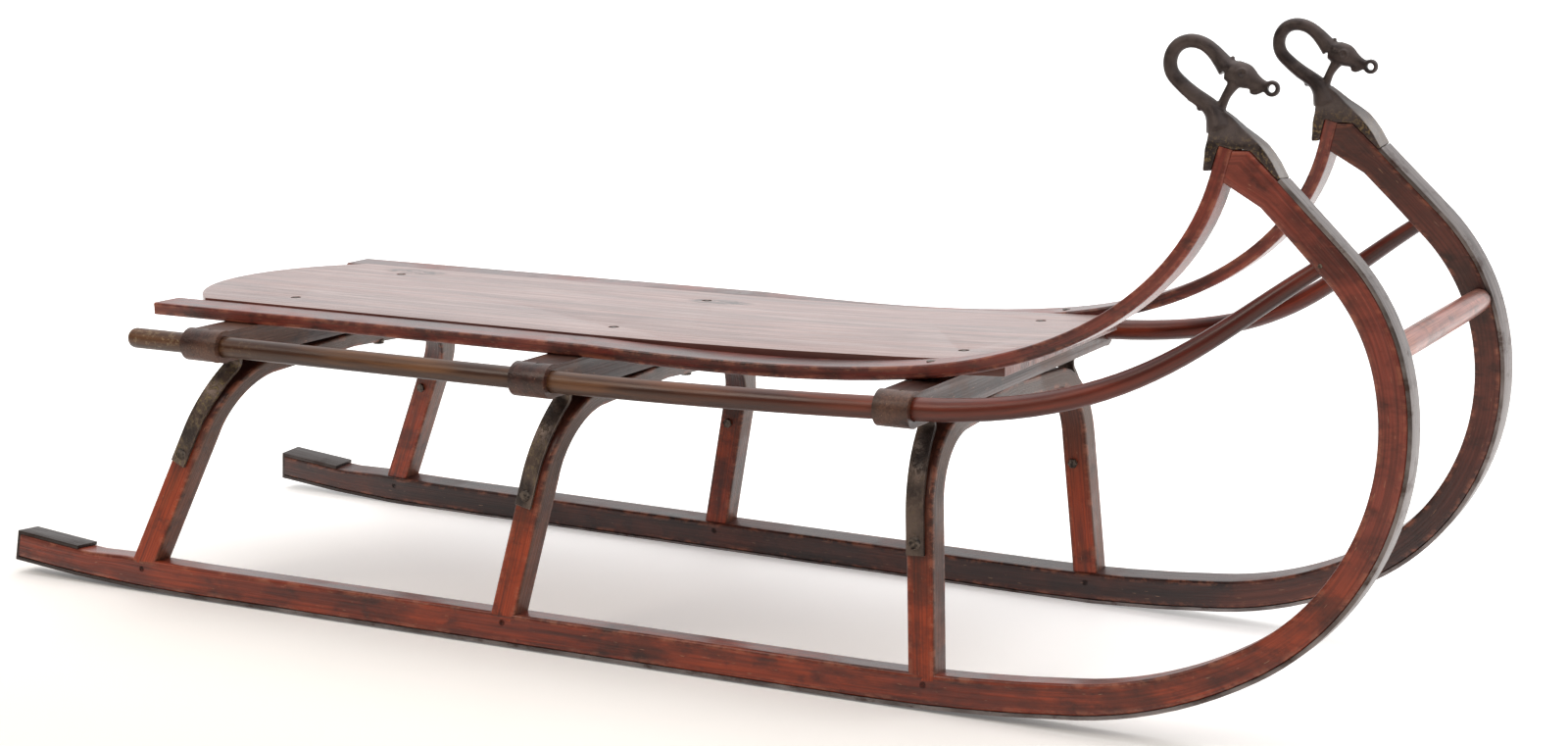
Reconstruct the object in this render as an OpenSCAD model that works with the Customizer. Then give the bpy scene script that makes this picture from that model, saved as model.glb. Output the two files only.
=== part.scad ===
// Bow-runner sled: two bent runners on steel shoes carry three bentwood bows,
// whose crossbeams hold a seat plank, two side slats and two side rods.
// +X is forward, +Y is the rider's left, +Z is up; z = 0 is the ground.

/* [Overall] */
// Length of the straight part of each runner
flat_l = 530; // [430:5:640]
// Distance between the feet of neighbouring bows
bow_pitch = 309.5; // [260:0.5:320]
// Height of the underside of the seat at the rear bow
deck_h = 199.5; // [165:0.5:240]
// Extra height of the deck at the front bow
deck_rise = 6; // [0:0.5:12]
// Distance between the runners' centre planes, halfway along
track = 294.8; // [240:0.2:360]

/* [Runners] */
// Thickness of a runner, across the sled
runner_t = 21; // [17:0.5:26]
// Depth of runner and shoe together on the ground
runner_d = 22.5; // [19:0.5:28]
// Depth of runner and shoe together at the nose
nose_d = 20; // [17:0.5:25]
// Thickness of the steel shoe
shoe_t = 2.5; // [1.5:0.1:3.5]
// Length of the shoe's return over the tail
shoe_return = 84; // [40:1:110]
// Inward lean of the runners
lean = 4.4; // [0:0.1:7]
// Toe-in of each runner
toe = 1.32; // [0:0.02:2]
// Radius of the tail's upward sweep
tail_r = 1550; // [900:10:3000]
// Length of the tail's upward sweep
tail_l = 168; // [120:1:220]
// Radius of the first lift in front of the flat
lift_r = 1260; // [800:10:2000]
// Radius of the lower bow
lower_r = 270; // [220:1:320]
// Radius of the nose
nose_r = 173; // [150:1:200]
// Radius of the crown over the nose
crown_r = 142; // [120:1:170]
// Length of the straight end of the runner
tip_l = 85; // [75:1:95]

/* [Bows] */
// Width of a bow along the sled
bow_w = 18.5; // [16:0.5:24]
// Thickness of a bow at its feet
leg_t = 19; // [15:0.5:22]
// Thickness of a bow at its crown
crown_t = 13.5; // [11:0.5:16]
// Radius of a bow's shoulders
shoulder_r = 62; // [45:1:75]
// Outward splay of the legs
splay = 5.5; // [3:0.1:8]
// Camber of a bow's crown
camber = 3; // [1:0.1:5]
// Forward rake of the rear bow
rear_rake = 24; // [10:0.5:28]
// Forward rake of the middle bow
middle_rake = 12.5; // [4:0.5:20]
// Forward rake of the front bow
front_rake = -4; // [-10:0.5:5]
// Depth of the tenon at each foot
tenon_l = 11; // [6:0.5:14]

/* [Crossbeams] */
// Width of the rear crossbeam along the sled
rear_beam_w = 31; // [22:0.5:36]
// Width of the middle crossbeam along the sled
middle_beam_w = 28; // [22:0.5:36]
// Width of the front crossbeam along the sled
front_beam_w = 24; // [20:0.5:30]
// Depth of the crossbeams
beam_h = 21.5; // [19:0.5:26]
// Radius of the knob at each end of a crossbeam
knob_r = 11.6; // [10:0.1:14]

/* [Deck] */
// Width of the seat plank
seat_w = 199; // [150:1:240]
// Thickness of the seat plank
seat_t = 10; // [7:0.5:14]
// Overhang of the seat past the front crossbeam
seat_front = 31; // [10:1:45]
// Overhang of the seat past the rear crossbeam
seat_rear = 88; // [50:1:110]
// Radius of the seat's round rear end
seat_r = 130; // [122:1:200]
// Width of a side slat along the deck
slat_w = 29; // [20:0.5:36]
// Thickness of a side slat
slat_t = 9; // [7:0.5:11]
// Overhang of the slats past the rear crossbeam
slat_rear = 64; // [40:1:80]

/* [Rods] */
// Distance between the side rods
rod_gap = 331.6; // [300:0.2:390]
// Radius of a side rod along the deck
rod_r = 7.3; // [6:0.1:8.5]
// Radius of a side rod's front end
rod_tip_r = 5; // [4:0.1:6]
// Depth of the rods' centres under the deck
rod_drop = 10.5; // [9:0.1:12]
// Overhang of the rods past the rear crossbeam
rod_rear = 54; // [30:1:70]
// Height at which the rods enter the runners
rod_tip_h = 293; // [270:1:305]
// Radius of the spreader between the runners
spreader_r = 8; // [6:0.1:9]
// Height of the spreader
spreader_h = 247; // [225:1:258]

/* [Iron] */
// Width of a brace strap
strap_w = 12; // [10:0.5:16]
// Thickness of a brace strap
strap_t = 2.6; // [2:0.1:4]
// Height of a brace strap's lower end
strap_low_h = 98; // [80:1:110]
// Thickness of a finial's base, across the sled
finial_t = 22; // [18:0.5:26]
// Length of a finial's front arm along the runner
arm_l = 24; // [16:1:34]
// Thickness of a finial's neck loop
loop_t = 8.5; // [6:0.5:10]
// Radius of the hole in a finial's beak
eye_r = 2.5; // [2:0.1:3]

/* [Hidden] */
$fn = 48;
fit = 0.12;              // clearance round a pin, tenon or rod in its hole
turn_step = 3;           // degrees of turn per facet of a bent edge
wide = 2000;             // larger than the sled, for cutting blocks
cut_t = 200;             // thick enough to cut right through a leg

lift_a = 6.5;            // degrees turned by each stretch of the runner's front
lower_a = 25.5;
nose_a = 73;
crown_a = 29.5;
tip_a = 2.7;
tail_a = tail_l / tail_r * 180 / PI;

// ---- curves: a path is a list of [along, height, heading] ----
function arc_end(p, s) = s[1] == 0
    ? [p[0] + s[0] * cos(p[2]), p[1] + s[0] * sin(p[2]), p[2]]
    : let (r = s[0] * 180 / PI / s[1])
        [p[0] + r * (sin(p[2] + s[1]) - sin(p[2])),
         p[1] + r * (cos(p[2]) - cos(p[2] + s[1])), p[2] + s[1]];
function arc_points(p, s) = let (n = max(1, ceil(abs(s[1]) / turn_step)))
    [for (i = [1 : n]) arc_end(p, s * i / n)];
// Walks stretches of [length, degrees turned], starting at p
function walk(p, stretches, i = 0) = i == len(stretches) ? [p]
    : let (pts = arc_points(p, stretches[i]))
        concat([p], [for (k = [0 : 1 : len(pts) - 2]) pts[k]],
            walk(pts[len(pts) - 1], stretches, i + 1));
function turn_length(r, a) = r * a * PI / 180;
function beside(p, d) = [p[0] - d * sin(p[2]), p[1] + d * cos(p[2])];
function last(list) = list[len(list) - 1];
function reversed(list) = [for (i = [len(list) - 1 : -1 : 0]) list[i]];
function bezier(a, b, c, d, t) =
    pow(1 - t, 3) * a + 3 * pow(1 - t, 2) * t * b + 3 * (1 - t) * t * t * c + t * t * t * d;
function bezier_path(a, b, c, d, n) = [for (i = [0 : n]) bezier(a, b, c, d, i / n)];
function mix(a, b, t) = a + (b - a) * t;
function unit(v) = v / norm(v);

// ---- the runner's side view ----
tail_start = [-turn_length(tail_r, tail_a), tail_r * (1 - cos(tail_a)), -tail_a];
edge_raw = walk(tail_start, [[tail_l, tail_a], [flat_l, 0],
    [turn_length(lift_r, lift_a), lift_a], [turn_length(lower_r, lower_a), lower_a],
    [turn_length(nose_r, nose_a), nose_a], [turn_length(crown_r, crown_a), crown_a],
    [tip_l, tip_a]]);
// x of the flat's rear end, which puts the sled's middle at x = 0, the shoe's tail cap counted
flat_x = (shoe_t * cos(tail_a) - min([for (p = edge_raw) p[0]]) - max([for (p = edge_raw) p[0]])) / 2;
edge = [for (p = edge_raw) [p[0] + flat_x, p[1], p[2]]];
function depth(p) = runner_d - (runner_d - nose_d) * max(0, sin(p[2]));
half_track = track / 2;

// Turns a point of the left runner's plane, with side the distance outwards, into the sled's frame
function in_plane(x, h, side = 0) =
    let (y = side * cos(lean) - h * sin(lean), z = side * sin(lean) + h * cos(lean))
    [x * cos(toe) + y * sin(toe), half_track - x * sin(toe) + y * cos(toe), z];

// The runner's wood ends under the finial, cut back along the slat's underside
bevel_l = 20;                             // length of that cut
bevel_a = 76.5;                           // its slope
tip_outer = beside(last(edge), shoe_t);
tip_joint = tip_outer + [-10.2, 0];
tip_crotch = tip_joint - bevel_l * [cos(bevel_a), sin(bevel_a)];
slat_back = tip_joint + slat_t * [-sin(bevel_a), cos(bevel_a)];
// Point of the outer edge a distance back from the tip
function edge_back(d) = mix(last(edge), edge[len(edge) - 2], d / tip_l);
inner_edge = [for (p = edge) if (p[2] < 90 || beside(p, depth(p))[0] > tip_crotch[0] + 4)
    beside(p, depth(p))];

// ---- where the bows and crossbeams stand ----
front_x = flat_x + flat_l + 40;           // foot of the front bow
bow_x = [front_x - 2 * bow_pitch, front_x - bow_pitch, front_x];
rakes = [rear_rake, middle_rake, front_rake];
beam_w = [rear_beam_w, middle_beam_w, front_beam_w];
deck = [deck_h, deck_h, deck_h + deck_rise];
foot_h = runner_d;
beam_x = [for (i = [0 : 2]) bow_x[i] + (deck[i] - beam_h - foot_h) * tan(rakes[i])];
function foot_y(i) = in_plane(bow_x[i], foot_h, runner_t / 2)[1];

// Height of the deck line: level to the middle crossbeam, then rising to the front one
function deck_at(x) = let (t = max(0, (x - beam_x[1]) / (beam_x[2] - beam_x[1])))
    deck_h + deck_rise * t * t;

// ---- solids ----
module sweep(rings) {
    n = len(rings[0]);
    m = len(rings);
    polyhedron(points = [for (r = rings) for (p = r) p],
        faces = concat([[for (k = [0 : n - 1]) k]],
            [[for (k = [n - 1 : -1 : 0]) (m - 1) * n + k]],
            [for (i = [0 : m - 2]) for (k = [0 : n - 1])
                [i * n + k, (i + 1) * n + k, (i + 1) * n + (k + 1) % n]],
            [for (i = [0 : m - 2]) for (k = [0 : n - 1])
                [i * n + k, (i + 1) * n + (k + 1) % n, i * n + (k + 1) % n]]));
}
module on_side(side) {
    if (side == "left") children();
    else mirror([0, 1, 0]) children();
}
module both_sides() {
    children();
    mirror([0, 1, 0]) children();
}
module in_runner_plane(thick) {
    translate([0, half_track, 0]) rotate([0, 0, -toe]) rotate([lean + 90, 0, 0])
        linear_extrude(thick, center = true) children();
}
// A round pin along the normal of the left runner, from one face distance to another
module plane_pin(x, h, r, from, to) {
    translate([0, half_track, 0]) rotate([0, 0, -toe]) rotate([lean + 90, 0, 0])
        translate([x, h, -to]) cylinder(h = to - from, r = r);
}

// ---- runners and shoes ----
shoe_gap = 0.4;          // between the shoe's end and the finial's arm
module wood_outline() {
    polygon(concat([for (p = edge) beside(p, shoe_t)], [tip_joint, tip_crotch],
        reversed(inner_edge)));
}
module shoe_outline() {
    shoe_edge = concat([for (p = edge) if (p != last(edge)) p], [edge_back(arm_l + shoe_gap)]);
    top = [for (p = edge) if (p[0] < edge[0][0] + shoe_return) p];
    cap = -shoe_t * [cos(tail_a), -sin(tail_a)];
    polygon(concat([for (p = shoe_edge) beside(p, 0)],
        reversed([for (p = shoe_edge) beside(p, shoe_t)]),
        [for (p = top) beside(p, depth(p) - shoe_t)],
        reversed([for (p = top) beside(p, depth(p))]),
        [beside(edge[0], depth(edge[0])) + cap, beside(edge[0], 0) + cap]));
}
module tail_strip() {
    top = [for (p = edge) if (p[0] < edge[0][0] + shoe_return) p];
    polygon(concat([for (p = top) beside(p, depth(p) - shoe_t)],
        reversed([for (p = top) beside(p, depth(p) + 1)])));
}
module runner() {
    difference() {
        in_runner_plane(runner_t) difference() {
            wood_outline();
            tail_strip();
        }
        for (i = [0 : 2]) {
            tenon(i, fit);
            foot_peg(i, fit);
        }
        rod_end(fit);
        rod_tip_pin(fit);
        spreader_tenon(fit);
        shoe_screws_one(fit);
        finial_pins_one(fit);
    }
}
module shoe() {
    difference() {
        in_runner_plane(runner_t) shoe_outline();
        translate([-wide / 2, -wide / 2, -wide]) cube([wide, wide, wide]);
        shoe_screws_one(fit);
    }
}
module runner_left() { color("#7a2f22") runner(); }
module runner_right() { color("#7a2f22") on_side("right") runner(); }
module runner_shoe_left() { color("#a09a9a") shoe(); }
module runner_shoe_right() { color("#a09a9a") on_side("right") shoe(); }

// Screws that hold the shoe, spaced along its edge
shoe_screw_at = [for (k = [0 : 5]) [flat_x + flat_l * (0.04 + 0.184 * k), 0, 0]];
module shoe_screws_one(gap = 0) {
    for (p = shoe_screw_at)
        translate([0, half_track, 0]) rotate([0, 0, -toe]) rotate([lean, 0, 0])
            translate([p[0], 0, 1.2]) {
                cylinder(h = 1.6 + gap, r1 = 3.4 + gap, r2 = 1.8 + gap);
                cylinder(h = 11 + gap, r = 1.6 + gap);
                if (gap > 0) translate([0, 0, -3]) cylinder(h = 3.01, r = 3.4 + gap);
            }
}
module shoe_screws() { color("#8d8884") both_sides() shoe_screws_one(); }

// ---- bows ----
// Half of a bow's outer line in its own raked plane, from the crown's middle to the foot
function bow_half(i) =
    let (rise = (deck[i] - beam_h - foot_h) / cos(rakes[i]),
        out = foot_y(i) - shoulder_r * (cos(splay) - sin(camber)),
        fall = rise - shoulder_r * (cos(camber) - sin(splay)),
        det = cos(camber) * cos(splay) - sin(splay) * sin(camber),
        crown = (out * cos(splay) - fall * sin(splay)) / det,
        leg = (fall * cos(camber) - out * sin(camber)) / det,
        bend = 90 - splay - camber)
    walk([0, rise, -camber], [[crown, 0], [turn_length(shoulder_r, bend), -bend], [leg + 8, 0]]);
function bow_thick(p) = mix(crown_t, leg_t, min(1, (-p[2] - camber) / (90 - splay - camber)));
module at_bow(i) {
    translate([bow_x[i], 0, foot_h]) rotate([0, rakes[i], 0]) children();
}
module bow_outline(i) {
    outer = bow_half(i);
    inner = [for (p = outer) beside(p, -bow_thick(p))];
    half = concat([for (p = outer) [p[0], p[1]]], reversed(inner));
    polygon(half);
    mirror([1, 0]) polygon(half);
}
module bow(i) {
    difference() {
        union() {
            difference() {
                at_bow(i) rotate([90, 0, 90]) linear_extrude(bow_w, center = true) bow_outline(i);
                both_sides() in_runner_plane(cut_t) polygon(concat(
                    [for (p = edge) if (p[2] < 45) beside(p, depth(p))],
                    [[flat_x + flat_l, -cut_t], [edge[0][0] - 20, -cut_t]]));
                translate([-wide / 2, -wide / 2, deck[i] - beam_h]) cube([wide, wide, 100]);
            }
            both_sides() tenon(i);
        }
        both_sides() foot_peg(i, fit);
        crown_screw_pair(i, fit);
        both_sides() strap_bolt(i, fit);
    }
}
tenon_x = 11;            // tenon's size along the sled
tenon_y = 9;             // tenon's size across the sled
module tenon(i, gap = 0) {
    y = in_plane(bow_x[i], foot_h)[1];
    translate([bow_x[i], y, foot_h]) rotate([0, rakes[i], 0]) rotate([lean, 0, 0])
        translate([-tenon_x / 2 - gap, -tenon_y / 2 - gap, -tenon_l - gap])
            cube([tenon_x + 2 * gap, tenon_y + 2 * gap, tenon_l + 6 + gap]);
}
peg_r = 2.2;
module foot_peg(i, gap = 0) {
    plane_pin(bow_x[i] - tenon_l / 2 * tan(rakes[i]) + 1, foot_h - tenon_l / 2 - 1,
        peg_r + gap, -runner_t / 2 - gap, runner_t / 2 + gap);
}
module bow_rear() { color("#6b2a20") bow(0); }
module bow_middle() { color("#6b2a20") bow(1); }
module bow_front() { color("#6b2a20") bow(2); }
module foot_pegs() { color("#3a1c14") both_sides() for (i = [0 : 2]) foot_peg(i); }

// Round-head screws that hold each crown up against its crossbeam
crown_screw_y = 34;
module crown_screw_pair(i, gap = 0) {
    low = deck[i] - beam_h - crown_t - 5;
    for (y = [-crown_screw_y, crown_screw_y])
        translate([beam_x[i], y, low - gap]) {
            cylinder(h = 3 + (gap > 0 ? 3.2 : 0), r = 4.2 + 2 * gap);
            cylinder(h = crown_t + 15 + 2 * gap, r = 1.9 + gap);
        }
}
module crown_screws() { color("#4a4440") for (i = [0 : 2]) crown_screw_pair(i); }

// ---- crossbeams ----
rod_y = rod_gap / 2;
module crossbeam(i) {
    difference() {
        union() {
            translate([beam_x[i] - beam_w[i] / 2, -rod_y, deck[i] - beam_h])
                cube([beam_w[i], 2 * rod_y, beam_h]);
            for (y = [-rod_y, rod_y])
                translate([beam_x[i], y, deck[i] - rod_drop]) rotate([0, 90, 0])
                    cylinder(h = beam_w[i], r = knob_r, center = true);
        }
        both_sides() rod_bore(i);
        crown_screw_pair(i, fit);
        both_sides() strap_screw(i, fit);
        both_sides() rod_brad(i, fit);
        both_sides() slat_screw(i, fit);
        seat_screw_pair(i, fit);
    }
}
module rod_bore(i) {
    translate([beam_x[i], rod_y, deck[i] - rod_drop]) rotate([0, 90 - rod_slope[i], 0])
        cylinder(h = beam_w[i] + 8, r = rod_r + 2 * fit, center = true);
}
module crossbeam_rear() { color("#74382c") crossbeam(0); }
module crossbeam_middle() { color("#74382c") crossbeam(1); }
module crossbeam_front() { color("#74382c") crossbeam(2); }

// ---- side rods ----
rod_slope = [0, 0, atan(2 * deck_rise / (beam_x[2] - beam_x[1]))];
rod_edge = [for (p = edge) if (p[2] > 90) beside(p, depth(p))];
// Height in the runner's plane turned into the place where the rod meets the inner edge
function edge_x_at(h, i = 0) = i >= len(rod_edge) - 2 || rod_edge[i + 1][1] > h
    ? mix(rod_edge[i][0], rod_edge[i + 1][0],
        (h - rod_edge[i][1]) / (rod_edge[i + 1][1] - rod_edge[i][1]))
    : edge_x_at(h, i + 1);
rod_tip = in_plane(edge_x_at(rod_tip_h), rod_tip_h);
rod_sink = 9;            // how far the rod's end goes into the runner
rod_turn_x = beam_x[2] + beam_w[2] / 2 + 2;
rod_turn = [rod_turn_x, rod_y,
    deck[2] - rod_drop + (rod_turn_x - beam_x[2]) * tan(rod_slope[2])];
rod_pull = norm(rod_tip - rod_turn);
rod_bend_1 = rod_turn + 0.53 * rod_pull * unit([1, -0.05, tan(rod_slope[2])]);
rod_end_way = unit([0.78, -0.11, 0.55]);
rod_bend_2 = rod_tip - 0.33 * rod_pull * rod_end_way;
rod_mid_n = 10;
rod_line = concat([[beam_x[0] - beam_w[0] / 2 - rod_rear, rod_y, deck_h - rod_drop]],
    [[beam_x[0] - beam_w[0] / 2 - rod_rear + 4, rod_y, deck_h - rod_drop]],
    [for (k = [0 : rod_mid_n - 1]) let (x = mix(beam_x[1], beam_x[2] - beam_w[2] / 2 - 2, k / rod_mid_n))
        [x, rod_y, deck_at(x) - rod_drop]],
    [rod_turn - [beam_w[2] + 4, 0, (beam_w[2] + 4) * tan(rod_slope[2])]],
    bezier_path(rod_turn, rod_bend_1, rod_bend_2, rod_tip, 14),
    [rod_tip + rod_sink * rod_end_way]);
function rod_radius(k) = k == 0 ? rod_r - 3
    : let (t = max(0, (rod_line[k][0] - rod_turn_x) / (rod_tip[0] - rod_turn_x)))
        mix(rod_r, rod_tip_r, min(1, t * t));
function line_way(line, k) =
    unit(line[min(k + 1, len(line) - 1)] - line[max(k - 1, 0)]);
function round_ring(p, way, r, n) = let (a = unit(cross(way, [0, 0, 1])), b = cross(a, way))
    [for (k = [0 : n - 1]) p + r * (cos(360 * k / n) * a + sin(360 * k / n) * b)];
module side_rod() {
    difference() {
        sweep([for (k = [0 : len(rod_line) - 1])
            round_ring(rod_line[k], k < len(rod_line) - 2 ? line_way(rod_line, k) : rod_end_way,
                rod_radius(k), 20)]);
        for (i = [0 : 2]) rod_brad(i, fit);
        rod_tip_pin(fit);
    }
}
// The hole for the rod's end in the runner
module rod_end(gap) {
    way = rod_end_way;
    lead = 12;           // the hole starts this far outside the wood
    translate(rod_tip - lead * way) rotate([0, acos(way[2]), atan2(way[1], way[0])])
        cylinder(h = lead + rod_sink + gap, r = rod_tip_r + gap);
}
module side_rod_left() { color("#6b4a2e") side_rod(); }
module side_rod_right() { color("#6b4a2e") on_side("right") side_rod(); }

brad_r = 1.1;
module rod_brad(i, gap = 0) {
    translate([beam_x[i] + 3, rod_y - 1, deck[i] - rod_drop - 3 - gap]) {
        cylinder(h = rod_drop + 3 + gap, r = brad_r + gap);
        translate([0, 0, rod_drop + 2.5]) cylinder(h = 1 + (gap > 0 ? 3 : 0), r = 2 + gap);
    }
}
module rod_brads() { color("#8a8078") both_sides() for (i = [0 : 2]) rod_brad(i); }
module rod_tip_pin(gap = 0) {
    plane_pin(edge_x_at(rod_tip_h) + 3.5, rod_tip_h + 2, 1.3 + gap,
        -2 - gap, runner_t / 2 + 0.6 + gap);
}
module rod_tip_pins() { color("#4a4440") both_sides() rod_tip_pin(); }

// ---- spreader between the noses ----
spreader_x = let (p = [for (p = edge) if (p[2] > 60 && p[1] < spreader_h) p])
    beside(last(p), depth(last(p)) / 2 + 0.5)[0];
module spreader_bar(r, side) {
    translate(in_plane(spreader_x, spreader_h, side)) rotate([90, 0, 0])
        cylinder(h = 2 * in_plane(spreader_x, spreader_h, side)[1], r = r);
}
module spreader_tenon(gap = 0) { spreader_bar(5 + gap, 4 + gap); }
module front_spreader() {
    color("#8b4f43") union() {
        difference() {
            spreader_bar(spreader_r, 0);
            both_sides() in_runner_plane(runner_t)
                translate([spreader_x, spreader_h]) square(60, center = true);
        }
        spreader_tenon();
    }
}

// ---- side slats ----
slat_out = rod_y - 36;                                    // outer face along the deck
slat_mid_y = slat_out - slat_w / 2;
slat_lift_x = beam_x[2] - beam_w[2] / 2;
slat_dip_x = beam_x[1] + beam_w[1] / 2;
slat_reach = slat_lift_x - slat_dip_x;
slat_lift = [slat_lift_x, deck[2] + 0.05];
slat_heading = 7;
slat_rise = norm(tip_joint - slat_lift);
// Underside of the slat, from rear to tip, in the side view
slat_line = concat(
    [[beam_x[0] - beam_w[0] / 2 - slat_rear, deck_h]],
    bezier_path([slat_dip_x, deck_h], [slat_dip_x + slat_reach / 3, deck_h - 2],
        slat_lift - slat_reach / 3 * [1, tan(slat_heading)], slat_lift, 8),
    [for (k = [1 : 20]) bezier(slat_lift,
        slat_lift + 0.5 * slat_rise * [cos(slat_heading), sin(slat_heading)],
        tip_crotch - 0.24 * slat_rise * [cos(bevel_a), sin(bevel_a)], tip_crotch, k / 20)],
    [tip_joint]);
function slat_share(p) = max(0, min(1, (p[1] - deck[2]) / (tip_joint[1] - deck[2])));
// The slat turns from level to the runner's lean as it climbs
function slat_point(p, out) = let (t = slat_share(p),
        w = mix(slat_w, runner_t, t),
        flat = [p[0], slat_mid_y + out * w / 2, p[1]])
    mix(flat, in_plane(p[0], p[1], out * w / 2), t);
function slat_ring(k) = let (p = slat_line[k], a = slat_line[max(k - 1, 0)],
        b = slat_line[min(k + 1, len(slat_line) - 1)],
        way = k > len(slat_line) - 3 ? [cos(bevel_a), sin(bevel_a)] : unit(b - a),
        top = p + slat_t * [-way[1], way[0]])
    [slat_point(p, -1), slat_point(p, 1),
     slat_point(top, 1), slat_point(top, -1)];
module side_slat() {
    difference() {
        sweep([for (k = [0 : len(slat_line) - 1]) slat_ring(k)]);
        for (i = [0 : 2]) slat_screw(i, fit);
        finial_pins_one(fit);
    }
}
module side_slat_left() { color("#6e2a20") side_slat(); }
module side_slat_right() { color("#6e2a20") on_side("right") side_slat(); }
module slat_screw(i, gap = 0) {
    lift = i == 2 ? 2.2 : 0;
    translate([beam_x[i], slat_mid_y, deck[i] + slat_t + lift - 14 - gap]) {
        cylinder(h = 14, r = 1.7 + gap);
        translate([0, 0, 12.4]) cylinder(h = 1.4 + (gap > 0 ? 4 : 0), r = 3.4 + gap);
    }
}
module slat_screws() { color("#5a4a40") both_sides() for (i = [0 : 2]) slat_screw(i); }

// ---- seat ----
seat_from = beam_x[0] - beam_w[0] / 2 - seat_rear;
seat_to = beam_x[2] + beam_w[2] / 2 + seat_front;
seat_n = 12;
seat_line = concat([[seat_from, deck_h]],
    [for (k = [0 : seat_n]) let (x = mix(beam_x[1], seat_to, k / seat_n)) [x, deck_at(x)]]);
module seat_board() {
    color("#b9a3a0") difference() {
        intersection() {
            rotate([90, 0, 0]) linear_extrude(seat_w, center = true)
                polygon(concat(seat_line, reversed([for (p = seat_line) p + [0, seat_t]])));
            union() {
                translate([seat_from + seat_r, 0, 0]) cylinder(h = deck_h * 2, r = seat_r);
                translate([seat_from + seat_r, -seat_w / 2, 0])
                    cube([wide, seat_w, deck_h * 2]);
            }
        }
        // the plank is let down over the front crossbeam, which it climbs onto
        translate([slat_lift_x, -wide / 2, deck[2] - beam_h]) cube([beam_w[2], wide, beam_h]);
        for (i = [0 : 2]) seat_screw_pair(i, fit);
    }
}
seat_screw_y = 0.33 * seat_w;
module seat_screw_pair(i, gap = 0) {
    top = deck_at(beam_x[i]) + seat_t;
    for (y = [-seat_screw_y, seat_screw_y])
        translate([beam_x[i], y, top - 17 - gap]) {
            cylinder(h = 17, r = 1.7 + gap);
            translate([0, 0, 15]) cylinder(h = 1.4 + (gap > 0 ? 4 : 0), r = 3.6 + gap);
        }
}
module seat_screws() { color("#3c302c") for (i = [0 : 2]) seat_screw_pair(i); }

// ---- brace straps ----
// The strap lies on the leg, eases in past the shoulder and turns out under the knob
strap_ease = [56, 38];   // length and degrees of the inward ease
strap_bend_r = 6;
strap_end = 20;          // flat end under the crossbeam
strap_shift = -2;        // from the leg's middle, along the sled
function strap_line(i) =
    let (half = bow_half(i), start = last(half),
        low = (strap_low_h - foot_h) / cos(rakes[i]),
        up = 90 + splay,
        back = -start[1] + low,
        foot = [start[0] - back * tan(splay), low, up],
        top = (deck[i] - beam_h - foot_h) / cos(rakes[i]) - strap_t / 2 / cos(rakes[i]),
        out_a = up + strap_ease[1],
        ease_h = arc_end([0, 0, up], strap_ease)[1],
        straight = (top - low - strap_bend_r * (1 - cos(out_a)) - ease_h) / cos(splay),
        off = strap_t / 2 + fit)
    walk([foot[0] + off, foot[1], up], [[straight, 0], strap_ease,
        [turn_length(strap_bend_r, out_a), -out_a], [strap_end, 0]]);
function strap_ring(i, line, k) =
    let (p = line[k], t = min(1, max(0, (90 + splay - p[2]) / 90)),
        lift = [sin(rakes[i]), 0, cos(rakes[i])],
        flat = unit(mix([cos(rakes[i]), 0, -sin(rakes[i])], [1, 0, 0], t)),
        at = [bow_x[i] + strap_shift, 0, foot_h] + p[0] * [0, 1, 0] + p[1] * lift,
        way = cos(p[2]) * [0, 1, 0] + sin(p[2]) * lift,
        out = unit(cross(flat, way)),
        w = strap_w / 2)
    [at - w * flat - strap_t / 2 * out, at + w * flat - strap_t / 2 * out,
     at + w * flat + strap_t / 2 * out, at - w * flat + strap_t / 2 * out];
module brace_strap(i) {
    line = strap_line(i);
    color("#5a4c2c") difference() {
        sweep([for (k = [0 : len(line) - 1]) strap_ring(i, line, k)]);
        strap_bolt(i, fit);
        strap_screw(i, fit);
    }
}
module brace_strap_rear_left() { brace_strap(0); }
module brace_strap_rear_right() { on_side("right") brace_strap(0); }
module brace_strap_middle_left() { brace_strap(1); }
module brace_strap_middle_right() { on_side("right") brace_strap(1); }
module brace_strap_front_left() { brace_strap(2); }
module brace_strap_front_right() { on_side("right") brace_strap(2); }

module strap_bolt(i, gap = 0) {
    p = strap_line(i)[0];
    h = p[1] + 8;
    y = p[0] - 8 * tan(splay) + strap_t / 2;
    translate([strap_shift, 0, 0]) at_bow(i) translate([0, y, h]) rotate([-90 + splay, 0, 0]) {
        translate([0, 0, -leg_t - strap_t - 1.5 - gap])
            cylinder(h = leg_t + strap_t + 2, r = 2 + gap);
        translate([0, 0, 0.02]) cylinder(h = 2, r1 = 4.2, r2 = 2.8);
        translate([0, 0, -leg_t - strap_t - 2.2]) cylinder(h = 2, r = 3.6, $fn = 6);
    }
}
module strap_bolts() { color("#4f4230") both_sides() for (i = [0 : 2]) strap_bolt(i); }
module strap_screw(i, gap = 0) {
    p = last(strap_line(i));
    low = deck[i] - beam_h - strap_t;
    x = bow_x[i] + strap_shift + p[1] * sin(rakes[i]);
    translate([x, p[0] - 6, low - 1.2 - gap]) {
        cylinder(h = 9 + gap, r = 1.6 + gap);
        cylinder(h = 1.2 + gap, r = 3.2 + gap);
    }
}
module strap_screws() { color("#4f4230") both_sides() for (i = [0 : 2]) strap_screw(i); }

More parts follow.
